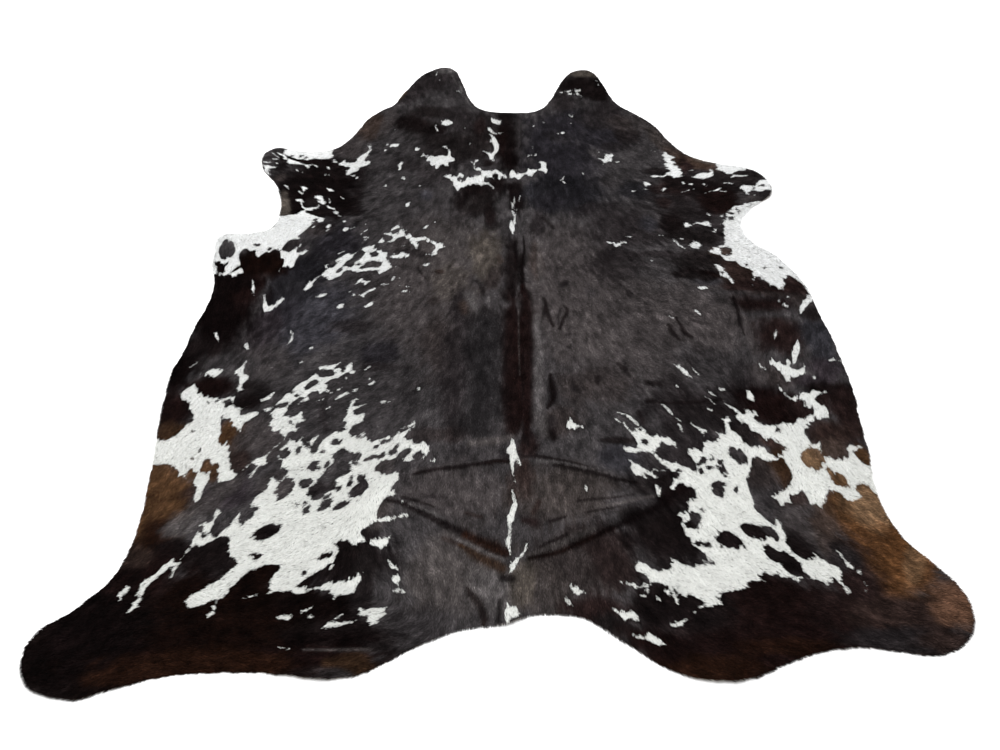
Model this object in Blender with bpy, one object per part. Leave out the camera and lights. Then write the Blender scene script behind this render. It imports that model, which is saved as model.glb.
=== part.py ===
"""A whole cow's hide, tanned with the hair on and laid out flat as a rug.

One piece: a closed sheet of even thickness, cut to the animal's own outline, with two neck
lobes round a notch, two forelegs, two flanks, two hind legs and a shallow dip at the tail.
Its underside is flat on the floor, apart from the soft folds that the skin keeps along the
spine, round the tail and where it was folded away, where both faces rise together.

Metres, +Z up. +Y runs to the neck and -X to the animal's left. The origin is on the floor,
at the middle of the rug.
"""
import math

import bpy
import numpy as np
from mathutils import Vector
from mathutils.geometry import delaunay_2d_cdt

CM = 0.01

# ---- driving dimensions, metres ----
THICKNESS = 0.3 * CM          # skin with its hair lying flat
EDGE_STEP = 3.2 * CM          # spacing of the corners along the cut edge
FIELD_STEP = 6.5 * CM         # spacing of the corners over the flat parts
FOLD_STEP = 4.0 * CM          # spacing of the corners along a fold
FOLD_ROWS = (-1.0, -0.66, -0.33, 0.0, 0.33, 0.66, 1.0)   # across a fold, in half-widths
MERGE_WITHIN = 1.0 * CM       # corners nearer than this are made one
EDGE_CLEAR = 2.6 * CM         # no free corner lies nearer than this to the cut edge
FOLD_CLEAR = 2.4 * CM         # nor this near to a fold's foot

# The cut edge, clockwise from the neck, in centimetres. A smooth closed curve runs through
# these points, so each part of the animal has only the points that its shape needs.
OUTLINE = {
    "neck notch": [(-8, 88.2), (-4, 86.6), (3, 86), (9, 86.2), (12.6, 87.3)],
    "right neck lobe": [(16, 91), (18.6, 96.6), (21.4, 104), (23.6, 108.8), (26.6, 111.8),
                        (30.4, 112.7), (34, 111.4), (36.4, 107.6), (38.2, 102.4),
                        (39.6, 96.6), (41.2, 92.2)],
    "right shoulder": [(44.8, 87.8), (50.4, 82.2), (54, 77.4), (57.3, 70), (61.6, 62.6)],
    "right foreleg": [(67, 58.6), (73, 56.5), (78.6, 55.4), (83.4, 53), (86.4, 48.8),
                      (87.6, 43.4), (86, 39.3), (81.4, 35.6), (77.2, 31.8), (74.8, 28)],
    "right flank": [(74.5, 23.4), (76.6, 18.4), (81, 14.1), (84.4, 9.2), (87, 4), (88.8, -1),
                    (89.3, -8), (90.4, -17), (91.1, -26), (91.7, -36.5), (90.8, -46),
                    (90.1, -56), (88.7, -66)],
    "right hind leg": [(89.2, -74), (91.6, -80), (96, -85.8), (99.2, -90.6), (100.4, -95.4),
                       (99.3, -100.4), (95.8, -103.8), (90, -105.9), (82.4, -105.1),
                       (74.6, -104.2)],
    "right rump": [(66, -105.1), (57.6, -107.8), (51, -110.3), (43.4, -111), (36.6, -109.8),
                   (30, -106.4)],
    "tail dip": [(24, -102.3), (18, -98.4), (12, -97.2), (5.6, -97.4), (0, -99.4),
                 (-8, -100.2), (-15, -102.5)],
    "left rump": [(-23, -106.5), (-29.4, -109.6), (-37, -110.6), (-47, -109.6), (-58, -109.3),
                  (-69, -110.1), (-78, -112.1)],
    "left hind leg": [(-86.4, -114.5), (-93, -113.7), (-97.8, -111.2), (-100, -105.6),
                      (-98.4, -100.6), (-94.2, -97.4), (-91, -94.4), (-87.4, -90),
                      (-85.3, -84.8), (-84.6, -77)],
    "left flank": [(-85.2, -68), (-86.4, -57), (-87.8, -46), (-88.5, -33), (-87.3, -24),
                   (-86.4, -15.4), (-84.8, -7), (-85, 1.6), (-87.2, 7.6), (-87.8, 12.6),
                   (-88.2, 18.6), (-86, 21.8), (-79.6, 22.4)],
    "left foreleg": [(-74, 23.8), (-71.3, 27.6), (-71, 33.6), (-72.6, 41), (-75.4, 47),
                     (-79.4, 52), (-81.5, 57), (-80.4, 62.3), (-76.8, 65), (-71.4, 63.7),
                     (-65, 63.1)],
    "left shoulder": [(-59.6, 64.2), (-55, 67.2), (-51.2, 74.4), (-48.2, 82), (-44, 87)],
    "left neck lobe": [(-39.6, 91), (-37.4, 97), (-34.4, 103), (-31.6, 108.8), (-27.6, 112.6),
                       (-21.6, 114.8), (-17.6, 111.8), (-15.2, 105), (-13, 97),
                       (-11, 91.8)],
}

# The folds that the skin keeps, in centimetres: how high the crest stands, how far the skin
# takes to come down on the path's left and on its right, and the points the crest runs through.
FOLDS = [
    # name,                  height, left, right, crest from its strong end
    ("spine", 0.7, 3.4, 3.0, [(4.6, 24), (4.4, 6), (5.0, -12), (4.8, -32), (4.0, -52)]),
    ("rump pleat left", 0.9, 3.6, 2.0, [(1.5, -59.5), (-8, -60.5), (-18, -62.2), (-29, -64)]),
    ("rump pleat right", 0.9, 2.0, 3.6, [(5, -57.2), (14, -59.4), (24, -62.6), (36, -63.6)]),
    ("tail fold left", 1.2, 2.2, 4.2, [(1.5, -81.6), (-6, -79), (-16, -73.6), (-29, -68)]),
    ("tail fold right", 1.2, 4.2, 2.2, [(6, -83), (14, -79.6), (25, -74.4), (38, -69)]),
    ("tail crease left", 0.6, 2.6, 2.6, [(0.5, -86.4), (-7, -83), (-16, -79.4)]),
    ("tail drop", 0.5, 3.0, 3.0, [(-5, -98), (-5.8, -94), (-8.6, -89.6)]),
    ("right waist fold", 0.6, 3.6, 2.4, [(58, -2.6), (70, -3.4), (84, -4)]),
    ("right side fold", 0.6, 2.4, 2.4, [(66.6, -7), (66.6, -13), (67.4, -20)]),
    ("right shoulder fold", 0.5, 3.2, 2.4, [(46, 8), (56, 7.4), (66, 6.6)]),
    ("right thigh fold", 0.5, 2.6, 2.6, [(24, -50.6), (36, -44.6), (56, -40)]),
    ("left thigh fold", 0.5, 2.6, 2.6, [(-44, -60.4), (-57, -61.4), (-66, -63)]),
    ("right hind leg fold", 0.6, 3.4, 2.0, [(98, -99.4), (86, -99.6), (74, -99.2)]),
    ("left rump fold", 0.5, 2.8, 2.8, [(-24, -102.6), (-38, -102.4), (-54, -103.4)]),
]

# Where the cut edge curls a little off the floor, in centimetres.
CURLS = [
    # name,                 height, reach, middle
    ("left neck lobe", 0.5, 13, (-22, 115)),
    ("right neck lobe", 0.7, 12, (31, 113)),
    ("left foreleg", 0.8, 12, (-82, 59)),
    ("right foreleg", 0.7, 13, (88, 45)),
    ("left elbow", 0.5, 9, (-88, 21)),
    ("left flank", 0.4, 12, (-90, -34)),
    ("right flank", 0.4, 14, (92, -22)),
    ("left hind leg", 0.7, 13, (-101, -107)),
    ("right hind leg", 0.6, 12, (101, -94)),
    ("left rump", 0.4, 11, (-40, -112)),
    ("right rump", 0.5, 12, (44, -112)),
    ("tail", 0.4, 6, (1, -99)),
]

HAIR_COLOUR = (0.022, 0.018, 0.018, 1.0)
HAIR_ROUGHNESS = 0.55


def smooth_curve(points, closed, per_span=10):
    """Points along the Catmull-Rom curve that runs through the given ones."""
    points = np.asarray(points, float)
    if closed:
        before, after = np.roll(points, 1, 0), np.roll(points, -1, 0)
        beyond, start = np.roll(points, -2, 0), points
    else:
        ends = np.vstack([2 * points[0] - points[1], points, 2 * points[-1] - points[-2]])
        before, start, after, beyond = ends[:-3], ends[1:-2], ends[2:-1], ends[3:]
    t = (np.arange(per_span) / per_span)[None, :, None]
    p0, p1, p2, p3 = (p[:, None, :] for p in (before, start, after, beyond))
    curve = 0.5 * (2 * p1 + (p2 - p0) * t + (2 * p0 - 5 * p1 + 4 * p2 - p3) * t ** 2
                   + (3 * p1 - p0 - 3 * p2 + p3) * t ** 3)
    curve = curve.reshape(-1, 2)
    return curve if closed else np.vstack([curve, points[-1]])


def evenly_spaced(curve, step, closed):
    """The same curve with points at even distances, as near to the step as fits."""
    if closed:
        curve = np.vstack([curve, curve[:1]])
    run = np.concatenate([[0.0], np.cumsum(np.hypot(*np.diff(curve, axis=0).T))])
    count = max(2, round(run[-1] / step))
    places = np.linspace(0, run[-1], count + 1)
    even = np.column_stack([np.interp(places, run, curve[:, i]) for i in (0, 1)])
    return even[:-1] if closed else even


def nearest_on_path(points, path):
    """For each point: signed distance to the path, + on its left, and how far along, 0 to 1."""
    start, span = path[:-1], np.diff(path, axis=0)
    length = np.hypot(*span.T)
    reach = points[:, None, :] - start[None]
    t = np.clip((reach * span).sum(-1) / length ** 2, 0, 1)
    gap = reach - t[..., None] * span
    distance = np.hypot(gap[..., 0], gap[..., 1])
    best = distance.argmin(1)
    row = np.arange(len(points))
    turn = span[best, 0] * gap[row, best, 1] - span[best, 1] * gap[row, best, 0]
    run = np.concatenate([[0.0], np.cumsum(length)])
    along = (run[best] + t[row, best] * length[best]) / run[-1]
    return np.where(turn >= 0, 1.0, -1.0) * distance[row, best], along


def cut_edge():
    """The outline as a smooth closed curve in metres, centred on its own box."""
    points = [point for part in OUTLINE.values() for point in part]
    curve = smooth_curve(points, closed=True) * CM
    middle = (curve.min(0) + curve.max(0)) / 2
    return evenly_spaced(curve - middle, EDGE_STEP, closed=True), middle


def fold_paths(middle):
    """Each fold with its sizes in metres and its crest as a smooth path."""
    folds = []
    for _name, height, left, right, crest in FOLDS:
        path = smooth_curve(crest, closed=False) * CM - middle
        folds.append((height * CM, left * CM, right * CM, path))
    return folds


def half_cosine(share):
    """1 at the crest, where the share is 0, coming down softly to 0 where it is 1."""
    return 0.5 + 0.5 * np.cos(math.pi * np.clip(share, 0, 1))


def curl_places(middle):
    """Each curl with its sizes and its middle in metres."""
    return [(height * CM, reach * CM, np.array(place) * CM - middle)
            for _name, height, reach, place in CURLS]


def lift(points, folds, curls):
    """How far the skin stands off the floor: a half cosine across each fold, fading along it,
    and one round the middle of each curl.
    """
    height = np.zeros(len(points))
    for curl_height, reach, middle in curls:
        away = np.hypot(*(points - middle).T)
        height = np.maximum(height, curl_height * half_cosine(away / reach))
    for crest_height, left, right, path in folds:
        offset, along = nearest_on_path(points, path)
        share = np.abs(offset) / np.where(offset >= 0, left, right)
        across = half_cosine(share)
        fade = np.clip(along / 0.12, 0, 1) * np.clip((1 - along) / 0.45, 0, 1)
        fade = fade * fade * (3 - 2 * fade)
        height = np.maximum(height, crest_height * across * fade)
    return height


def inside(points, edge):
    """Which points lie inside the closed edge: those with an odd number of crossings to +X."""
    x, y = points[:, :1], points[:, 1:]
    ax, ay = edge.T
    bx, by = np.roll(edge, -1, 0).T
    spans = (ay > y) != (by > y)
    rise = np.where(by == ay, 1.0, by - ay)
    crossing = ax + (y - ay) * (bx - ax) / rise
    return (spans & (x < crossing)).sum(1) % 2 == 1


def free_corners(edge, folds):
    """Corners within the edge: rows along each fold, and staggered rows over the flat parts."""
    rows = []
    for _height, left, right, path in folds:
        crest = evenly_spaced(path, FOLD_STEP, closed=False)
        heading = np.gradient(crest, axis=0)
        heading /= np.hypot(*heading.T)[:, None]
        to_left = np.column_stack([-heading[:, 1], heading[:, 0]])
        rows += [crest + to_left * share * (left if share > 0 else right)
                 for share in FOLD_ROWS]
    fold_points = np.vstack(rows)

    low, high = edge.min(0), edge.max(0)
    ys = np.arange(low[1], high[1], FIELD_STEP * math.sqrt(0.75))
    flat = [(x + (k % 2) * FIELD_STEP / 2, y) for k, y in enumerate(ys)
            for x in np.arange(low[0], high[0], FIELD_STEP)]
    flat = np.asarray(flat)
    for _height, left, right, path in folds:
        offset, _along = nearest_on_path(flat, path)
        flat = flat[np.abs(offset) > np.where(offset >= 0, left, right) + FOLD_CLEAR]

    corners = np.vstack([fold_points, flat])
    closed_edge = np.vstack([edge, edge[:1]])
    offset, _along = nearest_on_path(corners, closed_edge)
    corners = corners[inside(corners, edge) & (np.abs(offset) > EDGE_CLEAR)]

    kept = []
    for corner in corners:
        if all((corner[0] - k[0]) ** 2 + (corner[1] - k[1]) ** 2 > MERGE_WITHIN ** 2
               for k in kept):
            kept.append(corner)
    return np.asarray(kept)


def sheet_mesh(name, edge, corners, folds, curls):
    """A closed sheet: both faces follow the folds, and a rim joins them round the edge."""
    points = [Vector(p) for p in np.vstack([edge, corners])]
    count = len(edge)
    border = [(i, (i + 1) % count) for i in range(count)]
    flat, _edges, faces, *_ = delaunay_2d_cdt(points, border, [list(range(count))], 1, 1e-6)
    flat = np.asarray([tuple(p) for p in flat])
    total = len(flat)

    under = np.column_stack([flat, lift(flat, folds, curls)])
    over = under + (0, 0, THICKNESS)
    upper = []
    for a, b, c in faces:
        turn = np.cross(flat[b] - flat[a], flat[c] - flat[a])
        upper.append((a, b, c) if turn > 0 else (a, c, b))
    lower = [(a + total, c + total, b + total) for a, b, c in upper]

    sides = {(a, b) for tri in upper for a, b in zip(tri, tri[1:] + tri[:1])}
    rim = [(b, a, a + total, b + total) for a, b in sides if (b, a) not in sides]

    mesh = bpy.data.meshes.new(name)
    mesh.from_pydata(np.vstack([over, under]).tolist(), [], upper + lower + rim)
    mesh.validate()
    mesh.update()
    return mesh


def hair_material():
    """Near-black cattle hair with a soft sheen."""
    material = bpy.data.materials.new("hair_on_hide")
    material.use_nodes = True
    shader = material.node_tree.nodes["Principled BSDF"]
    shader.inputs["Base Color"].default_value = HAIR_COLOUR
    shader.inputs["Roughness"].default_value = HAIR_ROUGHNESS
    shader.inputs["Metallic"].default_value = 0.0
    return material


def main():
    for old in list(bpy.data.objects):
        bpy.data.objects.remove(old, do_unlink=True)
    edge, middle = cut_edge()
    folds = fold_paths(middle)
    corners = free_corners(edge, folds)
    mesh = sheet_mesh("hide", edge[::-1], corners, folds, curl_places(middle))
    mesh.materials.append(hair_material())
    hide = bpy.data.objects.new("hide", mesh)
    bpy.context.scene.collection.objects.link(hide)


main()
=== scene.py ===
"""The cowhide rug dressed for its picture: the skin, its short hair, and its markings.

The charts are in centimetres on the hide as it lies: +X is the right of the photograph and
+Y runs to the neck. They were placed one body area at a time. Everything made from them is
in metres, with the origin on the floor at the middle of the rug.
"""
import math

import bmesh
import bpy
import numpy as np
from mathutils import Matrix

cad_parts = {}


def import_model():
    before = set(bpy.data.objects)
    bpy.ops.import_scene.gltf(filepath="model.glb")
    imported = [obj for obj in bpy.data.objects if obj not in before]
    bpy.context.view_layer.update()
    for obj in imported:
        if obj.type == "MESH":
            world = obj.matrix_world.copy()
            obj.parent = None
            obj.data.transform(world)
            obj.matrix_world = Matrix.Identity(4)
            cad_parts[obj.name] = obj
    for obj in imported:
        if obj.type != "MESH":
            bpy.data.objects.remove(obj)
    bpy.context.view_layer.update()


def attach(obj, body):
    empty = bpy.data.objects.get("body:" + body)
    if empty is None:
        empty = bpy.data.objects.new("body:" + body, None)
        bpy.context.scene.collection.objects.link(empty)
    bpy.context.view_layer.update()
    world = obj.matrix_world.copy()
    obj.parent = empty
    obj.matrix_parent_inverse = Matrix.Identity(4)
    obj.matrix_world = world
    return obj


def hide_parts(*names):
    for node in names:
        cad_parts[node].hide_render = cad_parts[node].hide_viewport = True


CM, MM = 0.01, 0.001
TINY = 1e-9  # keeps a length that divides from being 0

# ---- the photograph ----
CAMERA = np.array((-0.012, -1.534, 1.6))  # where it was taken from, metres
CAMERA_PITCH = 53  # degrees below level
LENS, PICTURE_WIDTH = 27.04, 36  # millimetres
CHART_MIDDLE = np.array((0.197, 0.114))  # where the charts have the middle of the rug, cm
HAIR_TOP = 4.0 * MM  # the coat's upper side, which the charts see against the floor

# ---- the floor and the light ----
FLOOR_HALF = 30  # metres
LAMP_PLACE = (-1.2, 1.8, 4.4)  # metres
LAMP_TILT = (-20, -14)  # degrees about X and Y
LAMP_SIZE, LAMP_POWER = 5, 560  # metres and watts
SURROUND = 0.34  # strength of the light from all sides

# ---- the hide ----
SKIN_THICKNESS = 2.0 * MM
RIM_THICKNESS = 0.9 * MM  # least, at the cut edge
EDGE_ROUND = 4.0 * MM  # the skin thins away from this far inside the edge to as far past
EDGE_RAGGED = 0.6 * MM  # how far the cut edge wanders
FOLD_RISE, FOLD_FADE = 0.12, 0.45  # shares of a fold's run in which it comes and goes
UNEVEN = 0.5 * MM  # how far the skin wavers besides its folds

# ---- the plan rasters and the skin's mesh ----
CELL = 2.0 * MM
PLAN_HALF = np.array((1.04, 1.185))  # half-size of the rasters
EDGE_REACH = 0.03  # how far from the cut edge its distance is kept
MARKING_REACH = 8 * MM  # the same for a marking's rim
FLOW_STEP = 8  # cells from one worked-out flow heading to the next
FLOW_NEAR = 0.05  # a guide rules the flow within about this distance
SKIN_PITCH = 9.6 * MM  # lattice of the skin
SKIN_CLEAR = 0.35 * SKIN_PITCH  # inside the cut edge, for a point to be kept
SKIN_INSET = 1.5 * MM  # of its border, once it is moved out to the cut edge
SETTLE_TURNS, SETTLE_SHARE = 4, 0.9  # how often that is done, and by how much of the way

# ---- the skin's own place in the bake, which runs from 0 to 1 both ways ----
BAKE_MARGIN = 0.004  # left free at its lower left
BAKE_SPAN = 2.32  # metres of the hair side that would fill it
BAKE_UNDER = (0.892, 0.01)  # the underside's corner, at the hair side's right
BAKE_UNDER_SCALE = (0.045, 0.42)  # how much of the bake a metre of it takes
BAKE_RIM = 0.003  # width of the cut edge, round the hair side
BAKE_STRIP_MARGIN = 0.002  # round a strip of hair, which has a bake of its own

# ---- the tones and the rims of the markings ----
ZONE_REACH, CREASE_SHADE_REACH = 1.6, 2.4  # in half-widths; nothing of them shows farther out
SPOT_GROWTH = 0.8 * MM  # white locks lean over the small dark spots
DARK_GROWTH = (0.8, 1.5)  # over the white, to the tail and to the neck, mm
GROWTH_FROM, GROWTH_RUN = -0.1, 0.4  # where along Y it goes from one to the other, metres
WISPS_ALONG = 0.8  # how far wisps shift a rim that runs along the hair, mm
WISPS_MORE_ACROSS = 5.2  # how much farther they shift one that lies across it, mm
RIM_RAGGED = 0.35 * MM  # fine unevenness
RIM_BAND = 5 * MM  # what counts as by a rim

# ---- the locks of hair ----
LOCKS_PER_CM2 = 27.2  # before thinning
LOCKS_KEPT = 0.86  # share of them away from the markings' rims
LOCKS_PER_STRIP = 198000  # at most
STRIP_BORDERS = (-104, -39.5, 1.0, 41.5, 104)  # of the hair strips along X, cm
LOCK_LENGTH = (6.5 * MM, 9.5 * MM)
LOCK_WIDTH = (1.4 * MM, 2.3 * MM)
LOCK_CORNERS = np.array([(-0.5, 0), (0.5, 0), (0, 1)])  # root, root, tip in the strand pattern
LEAN, TUFT_LEAN, ROLL = np.radians((9, 10, 22))  # spreads of a lock's turn, its tuft's and its roll
BEND = 0.9 * MM  # spread of how far its tip lies to one side
TIP_HEIGHT = 2.4 * MM  # above the skin
OVERHANG = 5 * MM  # how far past the cut edge a tip may lie
ROOT_INSET = 0.5 * MM  # from the cut edge
RIM_TRIM = 0.68  # share of a lock's length by a marking's rim
BARE_MIDDLE = 0.45  # where along a lock its bare part has its middle

# ---- how the locks' colours vary ----
RIM_MIXING = 0.9 * MM  # spread of where a lock turns white
ROAN, ROAN_AT_RIM = 0.045, 0.09  # share of dark locks strewn in the white
ROAN_SHADE = (0.15, 0.6)  # how bright those are, beside the white
DARK_SPREAD, PALE_SPREAD = 0.34, 0.06  # from lock to lock
DARK_WISPS, PALE_WISPS = 0.08, 0.03  # from wisp to wisp
DARK_ROOT_SHADE, PALE_ROOT_SHADE = (0.77, 0.77, 1.05), (0.87, 0.87, 1.03)  # painted shade at a lock's roots, under the locks over them: root, root, tip
SKIN_SHADE = 0.8  # how bright the skin is, under the locks: painted shade of the locks over it
DARKEST, PALEST = 0.0005, 0.95  # limits, as linear light

# ---- hair colours, as they look in the photograph (sRGB, 0 to 255) ----
TONES = {
    "black": (11, 6, 6), "sable": (16, 7, 5), "ink": (20, 15, 15), "soot": (29, 25, 25),
    "char": (39, 35, 36), "iron": (49, 46, 47), "slate": (58, 55, 56), "smoke": (66, 61, 61),
    "dove": (74, 69, 68), "mist": (92, 88, 88), "fawn": (84, 77, 71), "taupe": (62, 56, 54),
    "cocoa": (49, 43, 42), "blue": (57, 56, 62), "dusk": (46, 45, 49), "steel": (36, 34, 38),
    "deep steel": (29, 28, 31), "plum": (50, 44, 48), "peat": (33, 18, 11),
    "umber": (44, 33, 30), "maroon": (22, 12, 11), "wine": (34, 24, 23), "bark": (61, 50, 45),
    "russet": (50, 35, 24), "brown": (75, 53, 35), "golden": (86, 57, 34), "tan": (112, 88, 66),
    "chestnut": (89, 64, 50), "lead": (33, 31, 32),
    "white": (226, 227, 223), "cool white": (230, 231, 231),
}
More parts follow.
